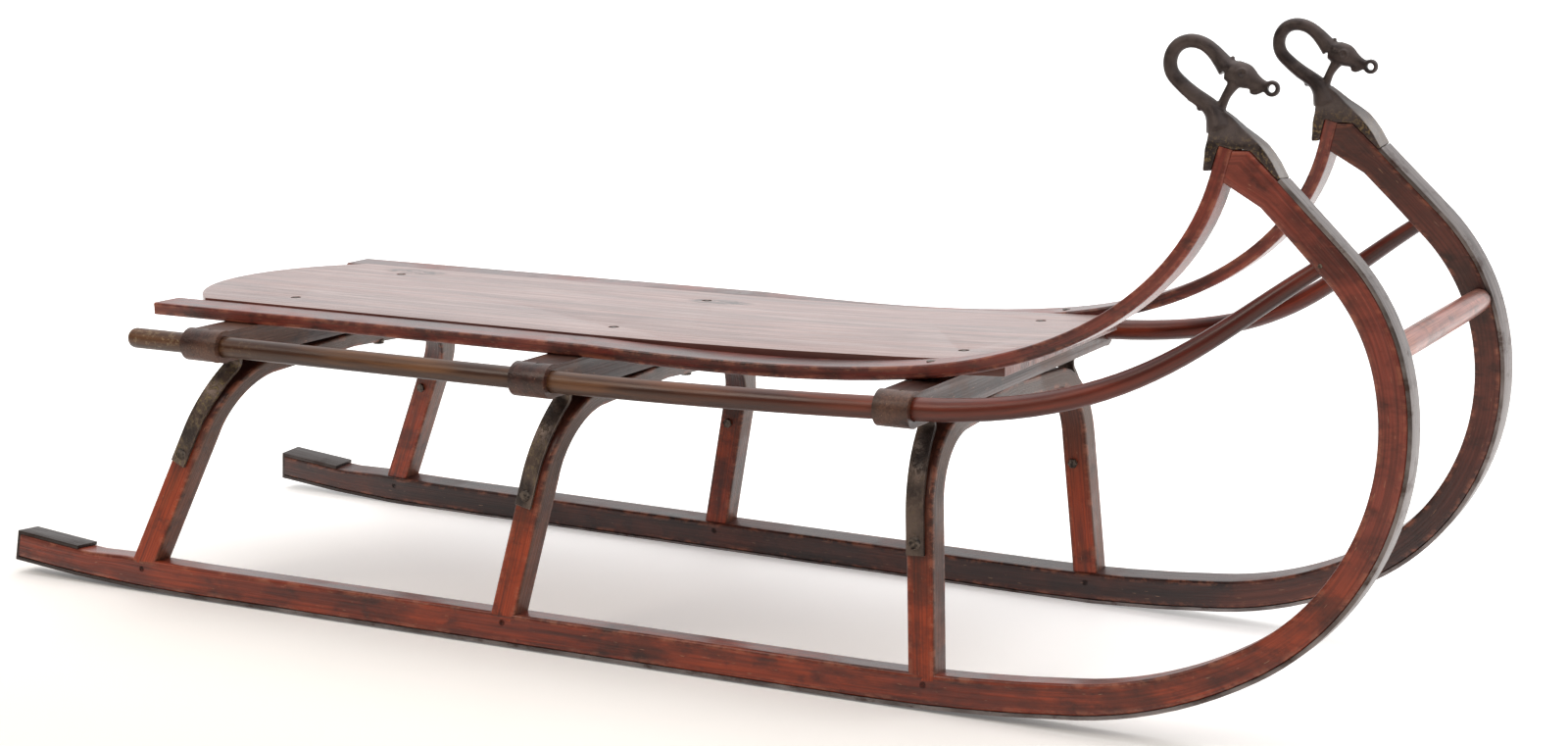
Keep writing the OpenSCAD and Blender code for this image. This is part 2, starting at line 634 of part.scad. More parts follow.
// ---- finials: a swan's neck and head cast in one piece with its socket ----
// Points are given from the runner's upper outer corner, in the runner's plane
arm_tip = beside(edge_back(arm_l), shoe_t);
arm_low = slat_back - 15 * [cos(bevel_a), sin(bevel_a)];
module finial_base() {
    polygon([arm_low, slat_back, tip_joint, tip_outer, arm_tip,
        arm_tip + [1.6, 2], tip_outer + [5.4, 5.2], tip_outer + [-13, 19],
        tip_outer + [-25.5, 13], tip_outer + [-25.5, 6], tip_outer + [-27.5, -3],
        arm_low + [-5.6, -1]]);
}
module finial_neck() {
    polygon([[-26.5, 11], [-13, 18.9], [-18.5, 22.5], [-19, 28.5], [-15, 35], [-20, 40],
        [-38, 27], [-33, 22.5], [-28, 16]]);
}
// A stretched ring: two circles of different size joined by their tangents
module egg(a, ra, b, rb) {
    d = b - a;
    tilt = atan2(d[1], d[0]);
    lean_in = acos((ra - rb) / norm(d));
    translate(a) circle(ra);
    translate(b) circle(rb);
    polygon([for (s = [-1, 1]) for (q = s < 0 ? [[a, ra], [b, rb]] : [[b, rb], [a, ra]])
        q[0] + q[1] * [cos(tilt + s * lean_in), sin(tilt + s * lean_in)]]);
}
loop_a = [-41, 49.7];
loop_b = [-25, 36.3];
module finial_loop() {
    difference() {
        egg(loop_a, 17.2, loop_b, 13.5);
        egg(loop_a + [0, 0.8], 9.7, loop_b, 6.4);
    }
}
module finial_head() {
    egg([-14.5, 45], 9, [-5, 42], 6);
    egg([-5, 42], 6, [1, 38.8], 3.8);
    polygon([[-19, 52], [-16.3, 55.6], [-12, 52], [-8, 48]]);
}
eye_at = [8.2, 36.3];
module finial() {
    difference() {
        union() {
            in_runner_plane(finial_t) finial_base();
            in_runner_plane(finial_t * 0.6) translate(tip_outer) finial_neck();
            in_runner_plane(loop_t) translate(tip_outer) finial_loop();
            in_runner_plane(loop_t * 1.45) translate(tip_outer) finial_head();
            in_runner_plane(loop_t * 0.8) translate(tip_outer + eye_at) circle(4.9);
        }
        plane_pin(tip_outer[0] + eye_at[0], tip_outer[1] + eye_at[1], eye_r,
            -loop_t, loop_t);
        finial_pins_one(fit);
    }
}
module finial_left() { color("#453b3a") finial(); }
module finial_right() { color("#453b3a") on_side("right") finial(); }
// Blind pins that hold the socket to the runner and to the slat
module finial_pins_one(gap = 0) {
    arm = mix(tip_outer, arm_tip, 0.5);
    way = unit(tip_outer - arm_tip);
    axis = [way[1], -way[0]];
    translate([0, half_track, 0]) rotate([0, 0, -toe]) rotate([lean, 0, 0]) {
        translate([arm[0] - 6 * axis[0], 0, arm[1] - 6 * axis[1]])
            rotate([0, atan2(axis[0], axis[1]), 0]) cylinder(h = 9 + gap, r = 1.4 + gap);
        translate([arm_low[0] - 2.5, 0, arm_low[1] + 7])
            rotate([0, 90, 0]) cylinder(h = 9 + gap, r = 1.4 + gap);
    }
}
module finial_pins() { color("#453b3a") both_sides() finial_pins_one(); }

runner_left();
runner_right();
runner_shoe_left();
runner_shoe_right();
bow_rear();
bow_middle();
bow_front();
crossbeam_rear();
crossbeam_middle();
crossbeam_front();
brace_strap_rear_left();
brace_strap_rear_right();
brace_strap_middle_left();
brace_strap_middle_right();
brace_strap_front_left();
brace_strap_front_right();
seat_board();
side_slat_left();
side_slat_right();
side_rod_left();
side_rod_right();
front_spreader();
finial_left();
finial_right();
foot_pegs();
crown_screws();
strap_bolts();
strap_screws();
rod_brads();
rod_tip_pins();
seat_screws();
slat_screws();
shoe_screws();
finial_pins();
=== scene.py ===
"""Bow-runner sled: bent wood, cast swan's-neck finials and iron straps, on a pale studio floor."""
import math

import bmesh
import bpy
from mathutils import Matrix, Vector


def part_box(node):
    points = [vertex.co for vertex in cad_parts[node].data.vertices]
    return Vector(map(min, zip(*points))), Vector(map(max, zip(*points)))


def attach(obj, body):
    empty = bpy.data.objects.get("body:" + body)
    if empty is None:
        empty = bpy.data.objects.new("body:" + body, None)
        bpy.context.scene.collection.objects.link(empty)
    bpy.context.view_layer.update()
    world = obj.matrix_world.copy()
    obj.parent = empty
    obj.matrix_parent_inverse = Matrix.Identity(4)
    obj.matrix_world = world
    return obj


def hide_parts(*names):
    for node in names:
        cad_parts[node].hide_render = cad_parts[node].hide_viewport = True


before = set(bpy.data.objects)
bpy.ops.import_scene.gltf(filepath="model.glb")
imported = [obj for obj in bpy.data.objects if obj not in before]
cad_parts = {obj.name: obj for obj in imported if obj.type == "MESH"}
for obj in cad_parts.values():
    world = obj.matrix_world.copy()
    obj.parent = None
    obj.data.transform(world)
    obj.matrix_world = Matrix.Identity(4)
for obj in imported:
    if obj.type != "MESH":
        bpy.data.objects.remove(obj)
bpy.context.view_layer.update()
MM = 0.001
SIDES = ("left", "right")
ROWS = ("rear", "middle", "front")


# ---- camera, floor and light ----
def add_camera():
    """A camera ahead of the sled and to its right, looking down on it a little."""
    data = bpy.data.cameras.new("camera")
    data.sensor_width = 36
    data.lens = 59.37
    cam = bpy.data.objects.new("camera", data)
    bpy.context.scene.collection.objects.link(cam)
    yaw, pitch, roll = (math.radians(a) for a in (27.65, -10.66, -0.13))
    turn = Matrix.Rotation(yaw, 4, "Z") @ Matrix.Rotation(pitch, 4, "X") @ Matrix.Rotation(roll, 4, "Y")
    turn = turn @ Matrix.Rotation(math.radians(90), 4, "X")
    cam.matrix_world = Matrix.Translation((0.8693, -1.572, 0.509)) @ turn
    bpy.context.scene.camera = cam


def linear(code):
    """An sRGB hex colour turned to linear red, green and blue."""
    parts = [int(code[i:i + 2], 16) / 255 for i in (1, 3, 5)]
    return [c / 12.92 if c <= 0.04045 else ((c + 0.055) / 1.055) ** 2.4 for c in parts]


def rgba(code):
    return (*linear(code), 1)


def add_area(name, place, aim, size, watts, colour):
    data = bpy.data.lights.new(name, "AREA")
    data.shape = "RECTANGLE"
    data.size, data.size_y = size
    data.energy = watts
    data.color = linear(colour)
    lamp = bpy.data.objects.new(name, data)
    bpy.context.scene.collection.objects.link(lamp)
    lamp.location = place
    lamp.rotation_euler = (Vector(aim) - Vector(place)).to_track_quat("-Z", "Y").to_euler()


# ---- nodes ----
RAMP = ("ShaderNodeMapRange", {"interpolation_type": "SMOOTHSTEP"})
LAYER = ("ShaderNodeMix", {"data_type": "RGBA"})
TIMES = ("ShaderNodeMath", {"operation": "MULTIPLY"})
PLUS = ("ShaderNodeMath", {"operation": "ADD", "use_clamp": True})
SUM = ("ShaderNodeMath", {"operation": "ADD"})
SIZE_OF = ("ShaderNodeMath", {"operation": "ABSOLUTE"})
WORN = ("ShaderNodeAttribute", {"attribute_name": "worn"})
GRAIN = ("ShaderNodeUVMap", {"uv_map": "grain"})
BALL = ("ShaderNodeTexGradient", {"gradient_type": "SPHERICAL"})
NOISE = ("ShaderNodeTexNoise", {})
PLACE = ("ShaderNodeMapping", {})
SPLIT = ("ShaderNodeSeparateXYZ", {})
GEOMETRY = ("ShaderNodeNewGeometry", {})
COORDINATES = ("ShaderNodeTexCoord", {})
BUMP = ("ShaderNodeBump", {})
SHADER = ("ShaderNodeBsdfPrincipled", {})
OUTPUT = ("ShaderNodeOutputMaterial", {})


def add(tree, kind, **links):
    """Adds a node of a kind and its settings, and fills or joins its inputs.
    i6 is the input numbered 6 and From_Min the one called From Min. A hex code is a colour,
    and a node stands for its first output that is in use."""
    made = tree.nodes.new(kind[0])
    for key, value in kind[1].items():
        setattr(made, key, value)
    for key, value in links.items():
        slot = made.inputs[int(key[1:]) if key[1:].isdigit() else key.replace("_", " ")]
        if isinstance(value, bpy.types.Node):
            value = next(o for o in value.outputs if o.enabled)
        if isinstance(value, bpy.types.NodeSocket):
            tree.links.new(value, slot)
        else:
            slot.default_value = rgba(value) if isinstance(value, str) else value
    return made


def new_material(name):
    mat = bpy.data.materials.new(name)
    mat.use_nodes = True
    tree = mat.node_tree
    tree.nodes.clear()
    return mat, tree


def stretch(*sizes_mm):
    """The scale at which one unit is the given size along each axis."""
    return [1 / (s * MM) for s in sizes_mm]


# ---- materials ----
def stained_ash(name, coords, deep, mid, warm, low_glow=0.0, high=0.0, painted_top_tone="#2a1a17",
                fore_aft_painted_sheen=0.0, gloss=0.12):
    """Bent ash, stained red-brown and varnished long ago; the varnish has crazed, darkened and worn.
    Its grain, about 1.4 mm wide, runs along the piece and is drawn coarser than life so that it shows.
    Low down and in patches the stain has gone to a warm orange, and dirt sits in the dull spots.
    High up the surface goes to another tone: on the bows painted shade under the deck, on the runners a
    paler painted highlight where the key light catches the nose.
    Faces that look forward or back can be turned grey-brown, a painted sheen of the bright room on them.
    coords is "uv" where the piece is bent, or "y" where its grain runs across the sled."""
    mat, tree = new_material(name)
    place = add(tree, COORDINATES).outputs["Object"]
    if coords == "uv":
        along = add(tree, GRAIN)
    else:
        along = add(tree, PLACE, Vector=place, Rotation=(0, 0, -math.pi / 2))
    scaled = add(tree, PLACE, Vector=along, Scale=stretch(70, 1.4, 1.4))
    fine = add(tree, NOISE, Vector=scaled, Scale=1, Detail=4)
    fine = add(tree, RAMP, Value=fine, From_Min=0.34, From_Max=0.66)
    scaled = add(tree, PLACE, Vector=along, Scale=stretch(160, 7, 7))
    streak = add(tree, NOISE, Vector=scaled, Scale=1, Detail=3)
    streak = add(tree, RAMP, Value=streak, From_Min=0.35, From_Max=0.65)
    scaled = add(tree, PLACE, Vector=place, Scale=stretch(60, 60, 42))
    patch = add(tree, NOISE, Vector=scaled, Scale=1, Detail=4)
    patch = add(tree, RAMP, Value=patch, From_Min=0.42, From_Max=0.64)
    scaled = add(tree, PLACE, Vector=place, Scale=stretch(23, 23, 15))
    dirt = add(tree, NOISE, Vector=scaled, Scale=1, Detail=5, Roughness=0.65)
    dirt = add(tree, RAMP, Value=dirt, From_Min=0.52, From_Max=0.72)
    colour = add(tree, LAYER, Factor=streak, i6=deep, i7=mid)
    colour = add(tree, LAYER, Factor=add(tree, TIMES, i0=patch, i1=0.7), i6=colour, i7=warm)
    height = add(tree, SPLIT, Vector=place).outputs["Z"]
    glow = add(tree, RAMP, Value=height, From_Min=0.13, From_Max=0.07, To_Max=low_glow)
    glow = add(tree, TIMES, i0=glow, i1=add(tree, RAMP, Value=streak, From_Min=-0.4, From_Max=0.9))
    colour = add(tree, LAYER, Factor=glow, i6=colour, i7="#a83e16")
    # painted top tone: painted shade under the deck on the bows, a painted highlight on the runners' noses
    above = add(tree, RAMP, Value=height, From_Min=0.085, From_Max=0.16, To_Max=high)
    colour = add(tree, LAYER, Factor=above, i6=colour, i7=painted_top_tone)
    normal = add(tree, SPLIT, Vector=add(tree, GEOMETRY).outputs["Normal"])
    # painted sheen: faces looking forward or back go grey-brown where the bright room reflects in them
    ahead = add(tree, SIZE_OF, i0=normal.outputs["X"])
    ahead = add(tree, RAMP, Value=ahead, From_Min=0.5, From_Max=0.85, To_Max=fore_aft_painted_sheen)
    colour = add(tree, LAYER, Factor=ahead, i6=colour, i7="#5a4334")
    scaled = add(tree, PLACE, Vector=place, Scale=stretch(130, 90, 60))
    soot = add(tree, NOISE, Vector=scaled, Scale=1, Detail=6, Roughness=0.72)
    soot = add(tree, RAMP, Value=soot, From_Min=0.46, From_Max=0.62, To_Max=0.6)
    colour = add(tree, LAYER, Factor=soot, i6=colour, i7="#22110d")
    colour = add(tree, LAYER, Factor=add(tree, TIMES, i0=fine, i1=0.45), i6=colour, i7="#240c07")
    colour = add(tree, LAYER, Factor=add(tree, TIMES, i0=dirt, i1=0.62), i6=colour, i7="#170b08")
    worn = add(tree, WORN).outputs["Fac"]
    scaled = add(tree, PLACE, Vector=place, Scale=stretch(16, 16, 9))
    rubbed = add(tree, NOISE, Vector=scaled, Scale=1, Detail=5, Roughness=0.7)
    rubbed = add(tree, RAMP, Value=rubbed, From_Min=0.46, From_Max=0.62, To_Max=0.42)
    bare = add(tree, TIMES, i0=worn, i1=rubbed)
    colour = add(tree, LAYER, Factor=bare, i6=colour, i7="#a8644a")
    scaled = add(tree, PLACE, Vector=along, Scale=stretch(10, 0.9, 0.9))
    scratch = add(tree, NOISE, Vector=scaled, Scale=1, Detail=2)
    scratch = add(tree, RAMP, Value=scratch, From_Min=0.69, From_Max=0.75, To_Max=0.5)
    colour = add(tree, LAYER, Factor=scratch, i6=colour, i7="#b08468")
    rough = add(tree, RAMP, Value=patch, To_Min=0.34, To_Max=0.48)
    relief = add(tree, PLUS, i0=add(tree, TIMES, i0=fine, i1=0.5), i1=add(tree, TIMES, i0=dirt, i1=0.5))
    bump = add(tree, BUMP, Height=relief, Distance=0.2 * MM)
    shader = add(tree, SHADER, Base_Color=colour, Roughness=rough, Normal=bump,
                 Specular_IOR_Level=0.38, Coat_Weight=gloss, Coat_Roughness=0.22)
    add(tree, OUTPUT, Surface=shader)
    return mat


def rod_ash(name):
    """Shaved ash rod under old golden varnish, redder towards the front, speckled where hands wore it; its
    underside is painted in shade.
    """
    mat, tree = new_material(name)
    along = add(tree, GRAIN)
    place = add(tree, COORDINATES).outputs["Object"]
    x = add(tree, SPLIT, Vector=place).outputs["X"]
    scaled = add(tree, PLACE, Vector=along, Scale=stretch(60, 1.2, 1.2))
    fine = add(tree, NOISE, Vector=scaled, Scale=1, Detail=4)
    fine = add(tree, RAMP, Value=fine, From_Min=0.34, From_Max=0.66, To_Max=0.5)
    scaled = add(tree, PLACE, Vector=along, Scale=stretch(110, 6, 6))
    streak = add(tree, NOISE, Vector=scaled, Scale=1, Detail=3)
    streak = add(tree, RAMP, Value=streak, From_Min=0.35, From_Max=0.65)
    scaled = add(tree, PLACE, Vector=place, Scale=stretch(5, 4, 4))
    speck = add(tree, NOISE, Vector=scaled, Scale=1, Detail=5, Roughness=0.75)
    speck = add(tree, RAMP, Value=speck, From_Min=0.52, From_Max=0.62, To_Max=0.5)
    golden = add(tree, LAYER, Factor=streak, i6="#3f2415", i7="#6a4426")
    red = add(tree, LAYER, Factor=streak, i6="#4c160a", i7="#802c12")
    front = add(tree, RAMP, Value=x, From_Min=-0.05, From_Max=0.3)
    colour = add(tree, LAYER, Factor=front, i6=golden, i7=red)
    rear = add(tree, RAMP, Value=x, From_Min=-0.25, From_Max=-0.37)
    colour = add(tree, LAYER, Factor=add(tree, TIMES, i0=rear, i1=speck), i6=colour, i7="#ab9270")
    colour = add(tree, LAYER, Factor=fine, i6=colour, i7="#26110a")
    normal = add(tree, SPLIT, Vector=add(tree, GEOMETRY).outputs["Normal"])
    # painted shade: the rod's underside is darkened
    under = add(tree, RAMP, Value=normal.outputs["Z"], From_Min=0.0, From_Max=-0.7, To_Max=0.6)
    colour = add(tree, LAYER, Factor=under, i6=colour, i7="#1c0f0b")
    rough = add(tree, RAMP, Value=streak, To_Min=0.33, To_Max=0.48)
    bump = add(tree, BUMP, Height=fine, Distance=0.12 * MM)
    shader = add(tree, SHADER, Base_Color=colour, Roughness=rough, Normal=bump,
                 Specular_IOR_Level=0.4, Coat_Weight=0.15, Coat_Roughness=0.25)
    add(tree, OUTPUT, Surface=shader)
    return mat


# Where two dark marks lie on the seat, and how far each reaches, in metres
SEAT_MARKS = [((-0.325, 0.0815, 0.21), (0.038, 0.014, 0.05)), ((-0.04, 0.063, 0.21), (0.034, 0.014, 0.05))]


def plank_pine(name):
    """Seat plank: stain and varnish worn thin by sitting, with a grey bloom and fine lengthwise grain.
    The bloom is partly a thin chalky film, duller than the wood below, and partly painted glare: it is
    painted paler on the top faces only; two deep worn marks near the left edge show dark old wood. The grain
    is drawn coarser than life, so it shows."""
    mat, tree = new_material(name)
    place = add(tree, COORDINATES).outputs["Object"]
    scaled = add(tree, PLACE, Vector=place, Scale=stretch(120, 1.5, 4))
    fine = add(tree, NOISE, Vector=scaled, Scale=1, Detail=5)
    fine = add(tree, RAMP, Value=fine, From_Min=0.36, From_Max=0.64)
    scaled = add(tree, PLACE, Vector=place, Scale=stretch(420, 11, 20))
    band = add(tree, NOISE, Vector=scaled, Scale=1, Detail=4)
    band = add(tree, RAMP, Value=band, From_Min=0.38, From_Max=0.62)
    scaled = add(tree, PLACE, Vector=place, Scale=stretch(130, 12, 26))
    bloom = add(tree, NOISE, Vector=scaled, Scale=1, Detail=6, Roughness=0.7)
    bloom = add(tree, RAMP, Value=bloom, From_Min=0.26, From_Max=0.66)
    scaled = add(tree, PLACE, Vector=place, Scale=stretch(34, 6, 9))
    stain = add(tree, NOISE, Vector=scaled, Scale=1, Detail=5, Roughness=0.7)
    stain = add(tree, RAMP, Value=stain, From_Min=0.60, From_Max=0.72, To_Max=0.5)
    normal = add(tree, SPLIT, Vector=add(tree, GEOMETRY).outputs["Normal"])
    top = add(tree, RAMP, Value=normal.outputs["Z"], From_Min=0.5, From_Max=0.9, To_Max=0.72)
    wood = add(tree, LAYER, Factor=band, i6="#52261f", i7="#7f4a3e")
    # painted glare: the pale bloom is laid on faces looking up only, partly real bloom and partly glare
    wood = add(tree, LAYER, Factor=add(tree, TIMES, i0=bloom, i1=top), i6=wood, i7="#bfa8a3")
    wood = add(tree, LAYER, Factor=add(tree, TIMES, i0=fine, i1=0.42), i6=wood, i7="#43211a")
    wood = add(tree, LAYER, Factor=stain, i6=wood, i7="#281512")
    for centre, reach in SEAT_MARKS:
        moved = add(tree, PLACE, Vector=place, Location=[-c / r for c, r in zip(centre, reach)],
                    Scale=[1 / r for r in reach])
        ball = add(tree, BALL, Vector=moved).outputs["Fac"]
        scaled = add(tree, PLACE, Vector=place, Scale=stretch(12, 4, 9))
        rag = add(tree, NOISE, Vector=scaled, Scale=1, Detail=4, Roughness=0.7)
        rag = add(tree, RAMP, Value=rag, From_Min=0.4, From_Max=0.55, To_Max=0.9)
        ball = add(tree, RAMP, Value=ball, From_Min=0.1, From_Max=0.5)
        wood = add(tree, LAYER, Factor=add(tree, TIMES, i0=ball, i1=rag), i6=wood, i7="#1a0e0c")
    worn = add(tree, WORN).outputs["Fac"]
    worn = add(tree, TIMES, i0=worn, i1=add(tree, TIMES, i0=bloom, i1=0.5))
    wood = add(tree, LAYER, Factor=worn, i6=wood, i7="#bf9f90")
    rough = add(tree, RAMP, Value=bloom, To_Min=0.32, To_Max=0.5)
    relief = add(tree, PLUS, i0=add(tree, TIMES, i0=fine, i1=0.6), i1=add(tree, TIMES, i0=band, i1=0.4))
    bump = add(tree, BUMP, Height=relief, Distance=0.3 * MM)
    shader = add(tree, SHADER, Base_Color=wood, Roughness=rough, Normal=bump,
                 Coat_Weight=0.5, Coat_Roughness=0.26)
    add(tree, OUTPUT, Surface=shader)
    return mat


def cast_iron(name):
    """Grey iron from a sand mould, browned by handling: dull and dark, pebbled at about 1 mm,
    bright grey where the wide socket is rubbed on top, brassy flecks low on its sides."""
    mat, tree = new_material(name)
    place = add(tree, COORDINATES).outputs["Object"]
    sand = add(tree, NOISE, Vector=place, Scale=1 / (1.1 * MM), Detail=3)
    tone = add(tree, NOISE, Vector=place, Scale=1 / (13 * MM), Detail=4)
    tone = add(tree, RAMP, Value=tone, From_Min=0.35, From_Max=0.65)
    speck = add(tree, NOISE, Vector=place, Scale=1 / (2.2 * MM), Detail=4, Roughness=0.7)
    speck = add(tree, RAMP, Value=speck, From_Min=0.5, From_Max=0.62, To_Max=0.6)
    z = add(tree, SPLIT, Vector=place).outputs["Z"]
    low = add(tree, RAMP, Value=z, From_Min=0.372, From_Max=0.352)
    normal = add(tree, SPLIT, Vector=add(tree, GEOMETRY).outputs["Normal"])
    up = add(tree, SUM, i0=normal.outputs["Z"], i1=normal.outputs["X"])
    up = add(tree, RAMP, Value=up, From_Min=0.85, From_Max=1.3, To_Max=0.5)
    colour = add(tree, LAYER, Factor=tone, i6="#2e2524", i7="#4d423f")
    colour = add(tree, LAYER, Factor=add(tree, TIMES, i0=low, i1=speck), i6=colour, i7="#8c7650")
    colour = add(tree, LAYER, Factor=add(tree, TIMES, i0=up, i1=low), i6=colour, i7="#a7a09c")
    rough = add(tree, RAMP, Value=tone, To_Min=0.36, To_Max=0.52)
    bump = add(tree, BUMP, Height=sand, Distance=0.16 * MM)
    shader = add(tree, SHADER, Base_Color=colour, Roughness=rough, Normal=bump, Metallic=0.55)
    add(tree, OUTPUT, Surface=shader)
    return mat


def painted_strap(name):
    """Hot-rolled strap, once bronze-painted: the paint is rubbed to brassy flecks over dark brown scale,
    more of it left at the rear; the edges are rubbed to grey."""
    mat, tree = new_material(name)
    place = add(tree, COORDINATES).outputs["Object"]
    scaled = add(tree, PLACE, Vector=place, Scale=stretch(14, 14, 22))
    patch = add(tree, NOISE, Vector=scaled, Scale=1, Detail=4)
    patch = add(tree, RAMP, Value=patch, From_Min=0.38, From_Max=0.62)
    scaled = add(tree, PLACE, Vector=place, Scale=stretch(2.4, 2.4, 3.4))
    speck = add(tree, NOISE, Vector=scaled, Scale=1, Detail=5, Roughness=0.75)
    speck = add(tree, RAMP, Value=speck, From_Min=0.48, From_Max=0.62)
    x = add(tree, SPLIT, Vector=place).outputs["X"]
    left_over = add(tree, RAMP, Value=x, From_Min=0.15, From_Max=-0.35, To_Min=0.12, To_Max=0.75)
    colour = add(tree, LAYER, Factor=patch, i6="#332a27", i7="#5c4d45")
    left_over = add(tree, TIMES, i0=left_over, i1=add(tree, TIMES, i0=speck, i1=patch))
    colour = add(tree, LAYER, Factor=left_over, i6=colour, i7="#8c7a52")
    worn = add(tree, WORN).outputs["Fac"]
    colour = add(tree, LAYER, Factor=add(tree, TIMES, i0=worn, i1=0.55), i6=colour, i7="#958b84")
    rough = add(tree, RAMP, Value=speck, To_Min=0.34, To_Max=0.52)
    bump = add(tree, BUMP, Height=speck, Distance=0.15 * MM)
    shader = add(tree, SHADER, Base_Color=colour, Roughness=rough, Normal=bump, Metallic=0.45)
    add(tree, OUTPUT, Surface=shader)
    return mat


def worn_shoe_steel(name):
    """Mild steel strip, polished grey by snow and grit, tarnished brown in patches and
    nearly black where it wraps the tail."""
    mat, tree = new_material(name)
    place = add(tree, COORDINATES).outputs["Object"]
    scaled = add(tree, PLACE, Vector=place, Scale=stretch(40, 2, 40))
    rub = add(tree, NOISE, Vector=scaled, Scale=1, Detail=4)
    rub = add(tree, RAMP, Value=rub, From_Min=0.35, From_Max=0.65)
    scaled = add(tree, PLACE, Vector=place, Scale=stretch(18, 18, 12))
    rust = add(tree, NOISE, Vector=scaled, Scale=1, Detail=5, Roughness=0.7)
    rust = add(tree, RAMP, Value=rust, From_Min=0.5, From_Max=0.68, To_Max=0.75)
    colour = add(tree, LAYER, Factor=rub, i6="#5a5250", i7="#8a8280")
    colour = add(tree, LAYER, Factor=rust, i6=colour, i7="#3a2219")
    x = add(tree, SPLIT, Vector=place).outputs["X"]
    tail = add(tree, RAMP, Value=x, From_Min=-0.30, From_Max=-0.44, To_Max=0.8)
    colour = add(tree, LAYER, Factor=tail, i6=colour, i7="#2a201d")
    rough = add(tree, RAMP, Value=rub, To_Min=0.35, To_Max=0.5)
    bump = add(tree, BUMP, Height=rub, Distance=0.08 * MM)
    shader = add(tree, SHADER, Base_Color=colour, Roughness=rough, Normal=bump, Metallic=0.75)
    add(tree, OUTPUT, Surface=shader)
    return mat


def tarnished_steel(name, dark, pale):
    """Small screw and nail heads: steel gone brown, with bright rubbed tops."""
    mat, tree = new_material(name)
    place = add(tree, COORDINATES).outputs["Object"]
    tone = add(tree, NOISE, Vector=place, Scale=1 / (2.5 * MM), Detail=3)
    tone = add(tree, RAMP, Value=tone, From_Min=0.35, From_Max=0.65)
    colour = add(tree, LAYER, Factor=tone, i6=dark, i7=pale)
    rough = add(tree, RAMP, Value=tone, To_Min=0.35, To_Max=0.55)
    shader = add(tree, SHADER, Base_Color=colour, Roughness=rough, Metallic=0.7)
    add(tree, OUTPUT, Surface=shader)
    return mat


# ---- meshes ----
def link(name, bm, mat, nodes, smooth_angle=35):
    """Makes the finished piece, which stands for the named CAD nodes."""
    mesh = bpy.data.meshes.new(name)
    bm.to_mesh(mesh)
    bm.free()
    mesh.materials.append(mat)
    piece = bpy.data.objects.new(name, mesh)
    bpy.context.scene.collection.objects.link(piece)
    for face in mesh.polygons:
        face.use_smooth = True
    mesh.set_sharp_from_angle(angle=math.radians(smooth_angle))
    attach(piece, "root")
    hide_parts(*nodes)
    return piece


def rounded_section(wide, thick, radius, corner_steps=4):
    """Points of a rounded rectangle, each with its share of wear: 1 round a corner, 0 on a flat."""
    points = []
    flat = min(radius * 1.3, wide / 2 - radius, thick / 2 - radius)
    for k in range(4):
        sx, sy = ((1, 1), (-1, 1), (-1, -1), (1, -1))[k]
        centre = Vector((sx * (wide / 2 - radius), sy * (thick / 2 - radius)))
        start = k * math.pi / 2
        first = Vector((math.cos(start), math.sin(start)))
        last = Vector((-first.y, first.x))
        points.append((centre + radius * first - flat * last, 0.0))
        for i in range(corner_steps + 1):
            a = start + i / corner_steps * math.pi / 2
            points.append((centre + radius * Vector((math.cos(a), math.sin(a))), 1.0))
        points.append((centre + radius * last - flat * first, 0.0))
    return points


ROUND_SIDES = 28


def round_section(radius, sides=ROUND_SIDES):
    """Points of a circle."""
    turns = [2 * math.pi * k / sides for k in range(sides)]
    return [Vector((radius * math.cos(a), radius * math.sin(a))) for a in turns]


def loft(rings, wear=None):
    """Extrudes a face from ring to ring, and gives it the grain map and the worn mark of each ring point."""
    bm = bmesh.new()
    face = bm.faces.new([bm.verts.new(p) for p in rings[0]])
    start = list(face.verts)
    where = {v: (0, k) for k, v in enumerate(start)}
    for i, ring in enumerate(rings[1:], 1):
        face = bmesh.ops.extrude_discrete_faces(bm, faces=[face])["faces"][0]
        for k, (v, p) in enumerate(zip(face.verts, ring)):
            v.co = p
            where[v] = (i, k)
    bm.faces.new(start)
    count = len(rings[0])
    around = [0.0]
    for k in range(count):
        around.append(around[-1] + (rings[0][(k + 1) % count] - rings[0][k]).length)
    middles = [sum(ring, Vector()) / count for ring in rings]
    along = [0.0]
    for a, b in zip(middles, middles[1:]):
        along.append(along[-1] + (b - a).length)
    grain = bm.loops.layers.uv.new("grain")
    worn = bm.loops.layers.float.new("worn")
    for f in bm.faces:
        ks = [where[v][1] for v in f.verts]
        wraps = len(f.verts) == 4 and 0 in ks and count - 1 in ks
        for corner in f.loops:
            i, k = where[corner.vert]
            if len(f.verts) > 4:
                corner[grain].uv = (along[i] + around[k] * 0.02, around[k] * 0.3)
            else:
                corner[grain].uv = (along[i], around[count if wraps and k == 0 else k])
            corner[worn] = wear[k] if wear else 0.0
    bmesh.ops.recalc_face_normals(bm, faces=bm.faces[:])
    return bm


def soft_copy(node, radius_mm, segments=3, min_edge_angle=30):
    """A copy of a CAD node: doubles merged, flat faces joined, edges rounded and marked worn."""
    bm = bmesh.new()
    bm.from_mesh(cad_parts[node].data)
    bmesh.ops.remove_doubles(bm, verts=bm.verts[:], dist=0.00002)
    bmesh.ops.dissolve_limit(bm, angle_limit=math.radians(0.6), verts=bm.verts[:], edges=bm.edges[:])
    sharp = [e for e in bm.edges if len(e.link_faces) == 2 and e.is_convex
             and e.calc_face_angle(0) > math.radians(min_edge_angle)]
    made = bmesh.ops.bevel(bm, geom=sharp, offset=radius_mm * MM, affect="EDGES", segments=segments,
                           profile=0.5, material=-1, clamp_overlap=True)
    worn = bm.loops.layers.float.new("worn")
    for f in made["faces"]:
        for corner in f.loops:
            corner[worn] = 1.0
    return bm


